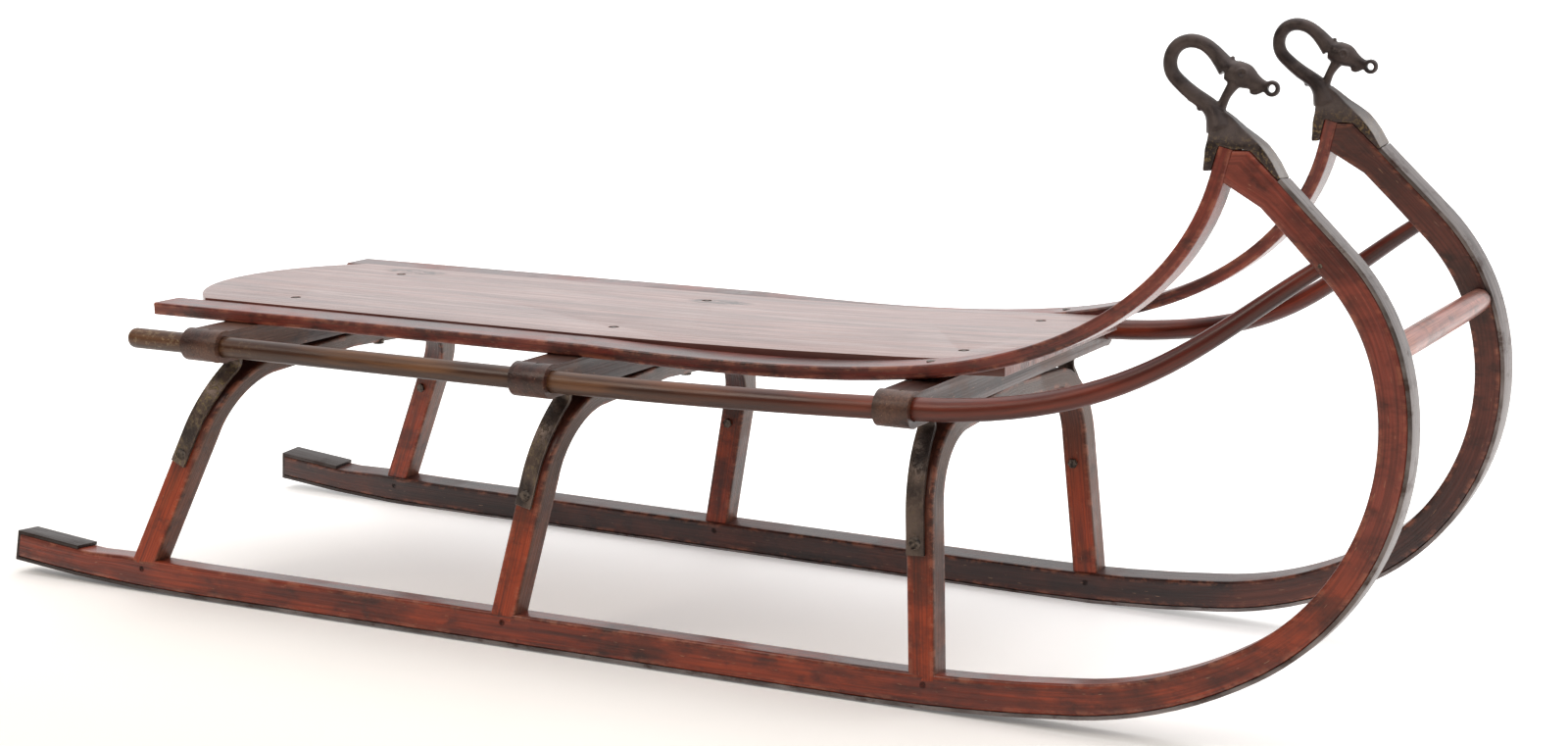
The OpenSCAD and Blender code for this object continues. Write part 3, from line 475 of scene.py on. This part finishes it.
# ---- paths, in millimetres: [along, height, heading in degrees] ----
def arc_end(p, length, turn):
    """Where a stretch of that length ends, which turns by so many degrees."""
    a = math.radians(p[2])
    if turn == 0:
        return (p[0] + length * math.cos(a), p[1] + length * math.sin(a), p[2])
    r = length / math.radians(turn)
    b = math.radians(p[2] + turn)
    return (p[0] + r * (math.sin(b) - math.sin(a)), p[1] + r * (math.cos(a) - math.cos(b)), p[2] + turn)


def walk(start, stretches, step=2.0, longest=40.0):
    """Points along a chain of [length, degrees turned], at most step degrees and longest apart."""
    path = [start]
    for length, turn in stretches:
        base = path[-1]
        n = max(1, math.ceil(abs(turn) / step), math.ceil(length / longest))
        path += [arc_end(base, length * i / n, turn * i / n) for i in range(1, n + 1)]
    return path


def beside(p, d):
    """The point that lies d to the left of a path's heading."""
    a = math.radians(p[2])
    return Vector((p[0] - d * math.sin(a), p[1] + d * math.cos(a)))


def bezier(a, b, c, d, t):
    return (1 - t) ** 3 * a + 3 * (1 - t) ** 2 * t * b + 3 * (1 - t) * t * t * c + t ** 3 * d


def mix(a, b, t):
    return a + (b - a) * t


def turn_length(r, a):
    """Length of an arc of radius r through a degrees."""
    return r * math.radians(a)


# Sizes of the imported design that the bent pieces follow, in millimetres and degrees
LEAN, TOE, HALF_TRACK = math.radians(4.4), math.radians(1.32), 147.4
RUNNER_T, RUNNER_D, NOSE_D, SHOE_T, SHOE_RETURN, SHOE_GAP = 21, 22.5, 20, 2.5, 84, 0.05
EDGE_R, FLAT_STEP, FAR_STEP = 1.8, 14, 3.0
TAIL_R, TAIL_L, FLAT_L = 1550, 168, 530
TAIL_A = math.degrees(TAIL_L / TAIL_R)
RUNNER_STRETCHES = [(TAIL_L, TAIL_A), (FLAT_L, 0), (turn_length(1260, 6.5), 6.5),
                    (turn_length(270, 25.5), 25.5), (turn_length(173, 73), 73),
                    (turn_length(142, 29.5), 29.5), (85, 2.7)]
BEVEL_A, BEVEL_L, TIP_T = math.radians(76.5), 20, 10.2
BEVEL = Vector((math.cos(BEVEL_A), math.sin(BEVEL_A)))
DECK, DECK_RISE, BEAM_H = (199.5, 199.5, 205.5), 6, 21.5
RAKES = [math.radians(a) for a in (24, 12.5, -4)]


def runner_edge(shift, **steps):
    """The runner's outer edge in its own plane, moved along by shift."""
    tail = (shift - TAIL_L, TAIL_R * (1 - math.cos(math.radians(TAIL_A))), -TAIL_A)
    return walk(tail, RUNNER_STRETCHES, **steps)


FAR_POINTS = [p[0] for p in runner_edge(0, step=FAR_STEP, longest=math.inf)]
FLAT_X = (SHOE_T * math.cos(math.radians(TAIL_A)) - min(FAR_POINTS) - max(FAR_POINTS)) / 2


def depth(p):
    """Depth of runner and shoe together, thinned as the runner rises round the nose."""
    return RUNNER_D - (RUNNER_D - NOSE_D) * max(0, math.sin(math.radians(p[2])))


def in_plane(x, h, side=0.0):
    """A point of the left runner's plane, side being the distance outwards, in metres on the sled."""
    y = side * math.cos(LEAN) - h * math.sin(LEAN)
    z = side * math.sin(LEAN) + h * math.cos(LEAN)
    return Vector((x * math.cos(TOE) + y * math.sin(TOE),
                   HALF_TRACK - x * math.sin(TOE) + y * math.cos(TOE), z)) * MM


def mirrored(rings, side):
    """The rings as they are on the left, or mirrored and turned round for the right."""
    if side == "left":
        return rings
    return [[Vector((p.x, -p.y, p.z)) for p in reversed(ring)] for ring in rings]


def side_wear(section, side):
    """The wear of a section's points, in the order that mirrored gives them."""
    wear = [w for _, w in section]
    return wear if side == "left" else wear[::-1]


EDGE = runner_edge(FLAT_X)
TIP = beside(EDGE[-1], SHOE_T)
JOINT = TIP - Vector((TIP_T, 0))
CROTCH = JOINT - BEVEL_L * BEVEL
OVER_THE_NOSE, CROTCH_ROOM = 100, 4


def runner(side, mat):
    """One bent length, from the tail to the bevel where its slat meets it."""
    cuts = []
    for p in EDGE:
        under_shoe = SHOE_T + SHOE_GAP if p[0] < EDGE[0][0] + SHOE_RETURN else 0
        high = beside(p, depth(p) - under_shoe)
        if p[2] > OVER_THE_NOSE and high.x < CROTCH.x + CROTCH_ROOM:
            high = CROTCH.copy()
        cuts.append((beside(p, SHOE_T), high))
    cuts.append((JOINT, CROTCH))
    rings = []
    for low, high in cuts:
        middle, half = (low + high) / 2, (high - low) / 2
        way = half.normalized()
        section = rounded_section(RUNNER_T, 2 * half.length, EDGE_R)
        rings.append([in_plane(*(middle + way * q.y), q.x) for q, _ in section])
    bm = loft(mirrored(rings, side), side_wear(section, side))
    link(f"runner_{side}_wood", bm, mat, [f"runner_{side}"])


BOW_PITCH, LAST_BOW = 309.5, 40
BOW_X = [FLAT_X + FLAT_L + LAST_BOW - k * BOW_PITCH for k in (2, 1, 0)]
BEAM_W = (31, 28, 24)
BEAM_X = [BOW_X[i] + (DECK[i] - BEAM_H - RUNNER_D) * math.tan(RAKES[i]) for i in range(3)]
BOW_W, LEG_T, CROWN_T, SHOULDER_R, SPLAY, CAMBER, FOOT = 18.5, 19, 13.5, 62, 5.5, 3, 3
SHOULDER_A = 90 - SPLAY - CAMBER


def bow_half(i):
    """Half of a bow's outer line in its raked plane, from the crown's middle to just inside the runner.
    The crown and the leg are straight, and their lengths close the line on the round shoulder."""
    rise = (DECK[i] - BEAM_H - RUNNER_D) / math.cos(RAKES[i])
    foot = in_plane(BOW_X[i], RUNNER_D, RUNNER_T / 2).y / MM
    sa, ca, sc, cc = (f(math.radians(a)) for a in (SPLAY, CAMBER) for f in (math.sin, math.cos))
    out = foot - SHOULDER_R * (ca - sc)
    fall = rise - SHOULDER_R * (cc - sa)
    det = cc * ca - sa * sc
    crown = (out * ca - fall * sa) / det
    leg = (fall * cc - out * sc) / det
    shoulder = (turn_length(SHOULDER_R, SHOULDER_A), -SHOULDER_A)
    return walk((0, rise, -CAMBER), [(crown, 0), shoulder, (leg + FOOT, 0)], longest=FLAT_STEP)


def bow(i, mat):
    """A steamed hoop, thinned at its crown, raked and mirrored about the middle."""
    half = bow_half(i)
    lift = Vector((math.sin(RAKES[i]), 0, math.cos(RAKES[i])))
    flat = Vector((math.cos(RAKES[i]), 0, -math.sin(RAKES[i])))
    base = Vector((BOW_X[i], 0, RUNNER_D))
    rings = []
    line = [(p, -1) for p in reversed(half)] + [(p, 1) for p in half[1:]]
    for p, hand in line:
        thick = mix(CROWN_T, LEG_T, min(1, (-p[2] - CAMBER) / SHOULDER_A))
        a = math.radians(p[2])
        inward = Vector((0, -1)) if p[0] == 0 else Vector((math.sin(a) * hand, -math.cos(a)))
        centre = Vector((p[0] * hand, p[1])) + inward * thick / 2
        section = rounded_section(BOW_W, thick, EDGE_R)
        ring = []
        for q, _ in section:
            at = centre - inward * q.y
            ring.append((base + Vector((0, at.x, 0)) + lift * at.y + flat * q.x) * MM)
        rings.append(ring)
    bm = loft(rings, [w for _, w in section])
    link(f"bow_{ROWS[i]}_wood", bm, mat, [f"bow_{ROWS[i]}"])


def deck_at(x):
    """Height of the crossbeams' tops along the sled, rising to the front one."""
    t = max(0, (x - BEAM_X[1]) / (BEAM_X[2] - BEAM_X[1]))
    return DECK[0] + DECK_RISE * t * t


# ---- slats ----
SLAT_W, SLAT_T, SLAT_R, SLAT_TAIL, SLAT_SAG, SLAT_SLOPE = 29, 9, 1.6, 64, 2, math.radians(7)
SLAT_GAP, ROD_Y, ROD_TO_SLAT = 0.05, 165.8, 36
SLAT_MID_Y = ROD_Y - ROD_TO_SLAT - SLAT_W / 2


def slat_line():
    """Underside of a slat from rear to tip, in the side view."""
    dip, up = BEAM_X[1] + BEAM_W[1] / 2, BEAM_X[2] - BEAM_W[2] / 2
    third = (up - dip) / 3
    start = Vector((dip, DECK[0]))
    lift = Vector((up, DECK[2] + SLAT_GAP))
    rise = (JOINT - lift).length
    rear = BEAM_X[0] - BEAM_W[0] / 2 - SLAT_TAIL
    straight = [Vector((mix(rear, dip, k / 12), DECK[0])) for k in range(12)]
    sag = [bezier(start, start + Vector((third, -SLAT_SAG)),
                  lift - third * Vector((1, math.tan(SLAT_SLOPE))), lift, k / 12) for k in range(13)]
    climb = [bezier(lift, lift + 0.5 * rise * Vector((math.cos(SLAT_SLOPE), math.sin(SLAT_SLOPE))),
                    CROTCH - 0.24 * rise * BEVEL, CROTCH, k / 28) for k in range(1, 29)]
    return straight + sag + climb + [JOINT]


def slat(side, mat):
    """A flat slat that narrows as it climbs, and leans over into its runner's plane."""
    line = slat_line()
    rings = []
    for k, p in enumerate(line):
        way = (line[min(k + 1, len(line) - 1)] - line[max(k - 1, 0)]).normalized()
        if k > len(line) - 3:
            way = BEVEL
        up = Vector((-way.y, way.x))
        climbed = max(0, min(1, (p.y - DECK[2]) / (JOINT.y - DECK[2])))
        section = rounded_section(mix(SLAT_W, RUNNER_T, climbed), SLAT_T, SLAT_R)
        ring = []
        for q, _ in section:
            at = p + up * (q.y + SLAT_T / 2)
            leant = max(0, min(1, (at.y - DECK[2]) / (JOINT.y - DECK[2])))
            flat = Vector((at.x, SLAT_MID_Y + q.x, at.y)) * MM
            ring.append(mix(flat, in_plane(at.x, at.y, q.x), leant))
        rings.append(ring)
    bm = loft(mirrored(rings, side), side_wear(section, side))
    link(f"side_slat_{side}_wood", bm, mat, [f"side_slat_{side}"])


# ---- side rods ----
ROD_R, ROD_TIP_R, ROD_DROP, ROD_TAIL, ROD_TIP_H, ROD_RISE = 7.3, 5, 10.5, 54, 293, 12
ROD_CLEAR, ROD_IN = 2, 6
ROD_NOSE = [(0, 0.35), (0.5, 0.62), (1.3, 0.80), (2.6, 0.93), (4.5, 1)]


def rod_line():
    """Points and radii of the left rod in millimetres, from its rounded rear end to inside the runner."""
    inner = [beside(p, depth(p)) for p in EDGE if p[2] > 90]
    k = next(i for i in range(len(inner) - 1) if inner[i + 1].y > ROD_TIP_H)
    share = (ROD_TIP_H - inner[k].y) / (inner[k + 1].y - inner[k].y)
    tip = in_plane(mix(inner[k].x, inner[k + 1].x, share), ROD_TIP_H) / MM
    slope = ROD_RISE / (BEAM_X[2] - BEAM_X[1])
    turn_x = BEAM_X[2] + BEAM_W[2] / 2 + ROD_CLEAR
    turn = Vector((turn_x, ROD_Y, DECK[2] - ROD_DROP + (turn_x - BEAM_X[2]) * slope))
    pull = (tip - turn).length
    first = turn + 0.53 * pull * Vector((1, -0.05, slope)).normalized()
    end_way = Vector((0.78, -0.11, 0.55)).normalized()
    second = tip - 0.33 * pull * end_way
    rear = BEAM_X[0] - BEAM_W[0] / 2 - ROD_TAIL
    points = [(Vector((rear + d, ROD_Y, DECK[0] - ROD_DROP)), ROD_R * s) for d, s in ROD_NOSE]
    start, stop = rear + 12, BEAM_X[2] - BEAM_W[2] / 2 - ROD_CLEAR
    for i in range(25):
        x = mix(start, stop, i / 24)
        points.append((Vector((x, ROD_Y, deck_at(x) - ROD_DROP)), ROD_R))
    for i in range(1, 25):
        at = bezier(turn, first, second, tip, i / 24)
        climbed = max(0, (at.x - turn_x) / (tip.x - turn_x))
        points.append((at, mix(ROD_R, ROD_TIP_R, min(1, climbed ** 2))))
    points.append((tip + ROD_IN * end_way, ROD_TIP_R))
    return points


def rod(side, mat):
    """A shaved rod, threaded through the crossbeams' knobs and tapered to the runner."""
    line = rod_line()
    rings = []
    for k, (p, r) in enumerate(line):
        way = (line[min(k + 1, len(line) - 1)][0] - line[max(k - 1, 0)][0]).normalized()
        a = way.cross(Vector((0, 0, 1))).normalized()
        b = a.cross(way)
        rings.append([(p + a * q.x + b * q.y) * MM for q in round_section(r)])
    bm = loft(mirrored(rings, side))
    link(f"side_rod_{side}_wood", bm, mat, [f"side_rod_{side}"], smooth_angle=60)


DOWEL_HALF, DOWEL_R, DOWEL_TAPER = 104, 8, 0.06


def spreader(mat):
    """A turned dowel, let into both noses; it is a touch thicker in the middle."""
    low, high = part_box("front_spreader")
    centre = (low + high) / 2
    rings = []
    for k in range(25):
        out = mix(-1, 1, k / 24)
        r = DOWEL_R * MM * (1 - DOWEL_TAPER * abs(out) ** 3)
        y = out * DOWEL_HALF * MM
        rings.append([Vector((centre.x + q.x, y, centre.z + q.y)) for q in round_section(r)])
    link("front_spreader_wood", loft(rings), mat, ["front_spreader"], smooth_angle=60)


# ---- finials: places are in the runner's plane, from its upper outer corner ----
NECK = [(-21, 12, 9.0), (-24, 19, 6.8), (-28, 24.2, 5.4), (-33, 27.8, 4.9), (-39, 31.6, 4.7), (-46, 37, 4.5),
        (-52, 43, 4.35), (-54, 49.5, 4.25), (-52.6, 56, 4.25), (-48.2, 60.8, 4.2), (-41.5, 62.6, 4.2),
        (-34.2, 61, 4.2), (-28, 56.8, 4.5), (-23, 51.6, 5.2), (-18.8, 46.8, 6.2)]
HEAD = [(-19, 46.2, 6.0), (-14.6, 44.8, 7.2), (-10.4, 43.6, 7.4), (-6.6, 42.0, 6.8), (-3, 40.2, 5.2),
        (0.6, 38.6, 3.9), (4.2, 37.2, 3.3), (6.0, 36.6, 3.0)]
THROAT = [(-23, 21, 3.6), (-21, 26, 3.0), (-19, 31, 2.8), (-16.6, 35.2, 3.2), (-14.4, 38.4, 3.8)]
EYE_AT, RING_AT = Vector((-8.6, 44.6)), Vector((8.2, 36.3))


def catmull(points, steps):
    """A smooth line through the points, which keep their radius."""
    vecs = [Vector(p) for p in points]
    ends = [2 * vecs[0] - vecs[1]] + vecs + [2 * vecs[-1] - vecs[-2]]
    line = []
    for i in range(1, len(ends) - 2):
        a, b, c, d = ends[i - 1:i + 3]
        for s in range(steps):
            t = s / steps
            line.append(0.5 * (2 * b + (c - a) * t + (2 * a - 5 * b + 4 * c - d) * t * t
                               + (3 * b - a - 3 * c + d) * t ** 3))
    return line + [vecs[-1]]


LIMB_SIDES = 20


def limb(points, flatten=1.0, steps=4):
    """A round limb through points of (x, height, radius), in the plane of the runner."""
    line = catmull(points, steps)
    rings = []
    for k, p in enumerate(line):
        nxt, prv = line[min(k + 1, len(line) - 1)], line[max(k - 1, 0)]
        way = Vector((nxt.x - prv.x, nxt.y - prv.y)).normalized()
        across = Vector((-way.y, way.x))
        ring = []
        for q in round_section(p.z, LIMB_SIDES):
            at = Vector((p.x, p.y)) + across * q.x
            ring.append(Vector((at.x, at.y, q.y * flatten)))
        rings.append(ring)
    return loft(rings)


ARM_L, GRIP_L, BASE_W, NECK_SHARE = 24, 15, 21.2, 0.42
BASE_LOW, BASE_RISE = 2, 19


def finial_base():
    """The socket: full width where it grips the wood, drawn in towards the neck."""
    arm_a = math.radians(EDGE[-1][2])
    arm = -ARM_L * Vector((math.cos(arm_a), math.sin(arm_a)))
    back = JOINT - TIP + SLAT_T * Vector((-BEVEL.y, BEVEL.x))
    low = back - GRIP_L * BEVEL
    socket = [low, back, Vector((-14.7, 1.2)), JOINT - TIP, Vector((-5, 0.6)), Vector((0, 0)), arm]
    ridge = [arm + Vector((1.3, 1.5)), Vector((13.7, -5.9)), Vector((9.7, -0.6)), Vector((5.2, 4.4))]
    ridge += [Vector(q) for q in ((-0.6, 8.9), (-6.8, 13.3), (-13, 18.6))]
    rear = [Vector(q) for q in ((-18.5, 22.3), (-28, 17), (-26.4, 11), (-26.2, 5.5), (-27.2, -1))]
    outline = socket + ridge + rear + [low + Vector((-5.2, -0.6))]
    bm = bmesh.new()
    face = bm.faces.new([bm.verts.new((q.x, q.y, -BASE_W / 2)) for q in outline])
    made = bmesh.ops.extrude_face_region(bm, geom=[face])["geom"]
    top = [g for g in made if isinstance(g, bmesh.types.BMVert)]
    bmesh.ops.translate(bm, vec=(0, 0, BASE_W), verts=top)
    for h in range(-10, 22, 2):
        whole = bm.verts[:] + bm.edges[:] + bm.faces[:]
        bmesh.ops.bisect_plane(bm, geom=whole, plane_co=(0, h, 0), plane_no=(0, 1, 0))
    for v in bm.verts:
        t = max(0, min(1, (v.co.y - BASE_LOW) / BASE_RISE))
        v.co.z *= mix(1, NECK_SHARE, t * t * (3 - 2 * t))
    bmesh.ops.recalc_face_normals(bm, faces=bm.faces[:])
    return bm


RING_WIRE, RING_MIDDLE, RING_WIDEN = 1.35, 3.55, 2.1


def beak_ring():
    """The pierced ring that the rope ties to, thicker across the runner than along it."""
    bm = bmesh.new()
    bmesh.ops.create_circle(bm, segments=14, radius=RING_WIRE)
    bmesh.ops.scale(bm, vec=(1, RING_WIDEN, 1), verts=bm.verts[:])
    bmesh.ops.translate(bm, vec=(RING_MIDDLE, 0, 0), verts=bm.verts[:])
    bmesh.ops.rotate(bm, matrix=Matrix.Rotation(math.radians(90), 3, "X"), verts=bm.verts[:])
    bmesh.ops.spin(bm, geom=bm.edges[:], cent=(0, 0, 0), axis=(0, 0, 1), angle=2 * math.pi,
                   steps=32, use_merge=True)
    bmesh.ops.remove_doubles(bm, verts=bm.verts[:], dist=0.001)
    bmesh.ops.translate(bm, vec=(RING_AT.x, RING_AT.y, 0), verts=bm.verts[:])
    bmesh.ops.recalc_face_normals(bm, faces=bm.faces[:])
    return bm


def feather(x, h):
    """A pointed feather end at the nape."""
    return limb([(x + 4, h + 4.5, 3.0), (x + 1.2, h + 1.6, 2.2), (x, h, 0.9)])


def finial_parts():
    """The shapes that the casting is made of, before they are run together."""
    crest = limb([(-18.5, 47, 3.2), (-17.2, 51, 2.4), (-15.6, 54.4, 0.9)], 0.8)
    brow = limb([(-12.5, 49.4, 2.6), (-6.5, 47.6, 2.4), (-2.6, 44.6, 1.8)], 1.5)
    wattle = limb([(2.5, 36.4, 2.4), (-1.8, 34.3, 2.2), (-4.8, 34.6, 1.4)], 1.2)
    nape = [feather(-35.6, 21.9), feather(-41.4, 27.2)]
    bird = [limb(NECK), limb(HEAD, 0.86), limb(THROAT), beak_ring(), crest, brow, wattle]
    return [finial_base()] + bird + nape


CAST_STEP, EYE_REACH, EYE_RIM, EYE_PIT = 0.55, 4, 2.4, 1.5


def finial(side, mat):
    """Runs the casting's parts together, softens the joins, and sinks the eyes."""
    whole = bmesh.new()
    for part in finial_parts():
        mesh = bpy.data.meshes.new("part")
        part.to_mesh(mesh)
        part.free()
        whole.from_mesh(mesh)
        bpy.data.meshes.remove(mesh)
    bmesh.ops.scale(whole, vec=(MM, MM, MM), verts=whole.verts[:])
    mesh = bpy.data.meshes.new("casting")
    whole.to_mesh(mesh)
    whole.free()
    cast = bpy.data.objects.new("casting", mesh)
    bpy.context.scene.collection.objects.link(cast)
    remesh = cast.modifiers.new("run_together", "REMESH")
    remesh.mode = "VOXEL"
    remesh.voxel_size = CAST_STEP * MM
    smooth = cast.modifiers.new("soften", "CORRECTIVE_SMOOTH")
    smooth.use_only_smooth = True
    smooth.iterations = 6
    made = bpy.data.meshes.new_from_object(cast.evaluated_get(bpy.context.evaluated_depsgraph_get()))
    bpy.data.objects.remove(cast)
    bm = bmesh.new()
    bm.from_mesh(made)
    bpy.data.meshes.remove(made)
    for v in bm.verts:
        flat = Vector((v.co.x, v.co.y)) / MM
        eye = (flat - EYE_AT).length
        if eye < EYE_REACH and abs(v.co.z) > 2 * MM:
            lid = 0.7 * math.exp(-((eye - EYE_RIM) / 0.7) ** 2)
            pit = 0.8 * math.exp(-(eye / EYE_PIT) ** 2)
            v.co.z += math.copysign(MM, v.co.z) * (lid - pit)
        v.co = in_plane(TIP.x + v.co.x / MM, TIP.y + v.co.y / MM, v.co.z / MM)
    if side == "right":
        bmesh.ops.scale(bm, vec=(1, -1, 1), verts=bm.verts[:])
    bmesh.ops.recalc_face_normals(bm, faces=bm.faces[:])
    link(f"finial_{side}_casting", bm, mat, [f"finial_{side}"], smooth_angle=70)


# ---- build ----
add_camera()
RUNNER_RED = {
    # near runner: its pale top tone is a painted highlight of the key light on the nose
    "right": stained_ash("near_ash_red_varnish", "uv", "#46150b", "#702513", "#963a1b", low_glow=0.35,
                         high=0.5, painted_top_tone="#96493c", gloss=0.3),
    # far runner: a darker copy of the runner's varnish, painted shade on its inner face under the sled
    "left": stained_ash("far_ash_varnish_painted_shade", "uv", "#2b140f", "#4a231a", "#653224", high=0.4,
                        painted_top_tone="#6a3026", gloss=0.2)}
# bows: painted shade high up under the deck, and a painted sheen on faces looking forward or back
BOW_RED = stained_ash("bow_ash_red_varnish", "uv", "#3c150e", "#662616", "#86401f", low_glow=0.95, high=0.7,
                      fore_aft_painted_sheen=0.75, gloss=0.04)
SLAT_RED = stained_ash("slat_ash_red_varnish", "uv", "#4a1813", "#75291f", "#8a3a29", gloss=0.4)
BEAM_RED = stained_ash("beam_ash_dark_varnish", "y", "#2b1511", "#45231b", "#6a4836", gloss=0.12)
DOWEL_RED = stained_ash("dowel_ash_pale_varnish", "uv", "#925446", "#b06e60", "#bf8572", gloss=0.35)
ROD_GOLD = rod_ash("rod_ash_golden_varnish")
SEAT_PINE = plank_pine("seat_pine_bloom_and_painted_glare")
IRON = cast_iron("cast_iron_browned")
STRAP = painted_strap("strap_iron_bronze_paint")
SHOE = worn_shoe_steel("shoe_steel_worn")
SCREW = tarnished_steel("screw_steel_tarnished", "#2b2522", "#6a5f56")
NAIL = tarnished_steel("nail_steel_rubbed", "#4a4038", "#a59a8c")
PEG = stained_ash("peg_ash_dark", "y", "#24100b", "#381810", "#452218")

for side in SIDES:
    runner(side, RUNNER_RED[side])
    slat(side, SLAT_RED)
    rod(side, ROD_GOLD)
    finial(side, IRON)
    name = f"runner_shoe_{side}"
    link(f"{name}_steel", soft_copy(name, 0.6, min_edge_angle=50), SHOE, [name])
for i, row in enumerate(ROWS):
    bow(i, BOW_RED)
    name = f"crossbeam_{row}"
    link(f"{name}_wood", soft_copy(name, 1.8, segments=4), BEAM_RED, [name])
    for side in SIDES:
        name = f"brace_strap_{row}_{side}"
        link(f"{name}_iron", soft_copy(name, 0.5, min_edge_angle=50), STRAP, [name])
link("seat_board_wood", soft_copy("seat_board", 1.8, segments=4), SEAT_PINE, ["seat_board"])
spreader(DOWEL_RED)

CARRIED = {"foot_pegs": PEG, "crown_screws": SCREW, "strap_bolts": SCREW, "strap_screws": SCREW,
           "rod_brads": NAIL, "rod_tip_pins": NAIL, "seat_screws": SCREW, "slat_screws": SCREW,
           "shoe_screws": SCREW, "finial_pins": IRON}
for node_name, mat in CARRIED.items():
    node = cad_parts[node_name]
    node.data.materials.clear()
    node.data.materials.append(mat)


def paper_sweep():
    """Pale studio paper, painted cream underfoot and brightening to white behind, with a painted glow rising
    towards the back.
    """
    mat, tree = new_material("studio_paper_painted_glow")
    place = add(tree, COORDINATES).outputs["Object"]
    y = add(tree, SPLIT, Vector=place).outputs["Y"]
    # painted light: the colour brightens towards the back, and the paper glows there though it is no lamp
    back = add(tree, RAMP, Value=y, From_Min=-0.7, From_Max=0.1)
    colour = add(tree, LAYER, Factor=back, i6="#efe6da", i7="#fbf9f7")
    lift = add(tree, RAMP, Value=y, From_Min=-0.45, From_Max=0.6, To_Max=0.55)
    shader = add(tree, SHADER, Base_Color=colour, Roughness=0.7, Specular_IOR_Level=0.2,
                 Emission_Color="#ffffff", Emission_Strength=lift)
    add(tree, OUTPUT, Surface=shader)
    bm = bmesh.new()
    bmesh.ops.create_grid(bm, x_segments=2, y_segments=2, size=30)
    bmesh.ops.translate(bm, vec=(0, 0, -0.0004), verts=bm.verts[:])
    mesh = bpy.data.meshes.new("floor")
    bm.to_mesh(mesh)
    bm.free()
    mesh.materials.append(mat)
    floor = bpy.data.objects.new("floor", mesh)
    bpy.context.scene.collection.objects.link(floor)


BRIGHT_WAY = (0.42, 0.70, 0.58)


def bright_room():
    """White behind, above and ahead of the sled, dim behind the camera, plain white where it is seen."""
    world = bpy.data.worlds.new("studio")
    bpy.context.scene.world = world
    world.use_nodes = True
    tree = world.node_tree
    tree.nodes.clear()
    toward = add(tree, COORDINATES).outputs["Generated"]
    facing = add(tree, ("ShaderNodeVectorMath", {"operation": "DOT_PRODUCT"}), i0=toward, i1=BRIGHT_WAY)
    room = add(tree, RAMP, Value=facing.outputs["Value"], From_Min=-0.55, From_Max=0.55,
               To_Min=0.1, To_Max=1.15)
    seen = add(tree, ("ShaderNodeLightPath", {})).outputs["Is Camera Ray"]
    level = add(tree, ("ShaderNodeMix", {"data_type": "FLOAT"}), Factor=seen, i2=room, i3=1.0)
    background = add(tree, ("ShaderNodeBackground", {}), Color="#ffffff", Strength=level)
    add(tree, ("ShaderNodeOutputWorld", {}), Surface=background)


paper_sweep()
bright_room()
add_area("key", (-1.4, -2.4, 2.4), (0, 0, 0.2), (1.8, 1.2), 32, "#fff4e6")
add_area("top", (0.2, 0.6, 2.8), (0, 0, 0.2), (3.0, 2.4), 34, "#ffffff")
bpy.context.scene.view_settings.view_transform = "Standard"
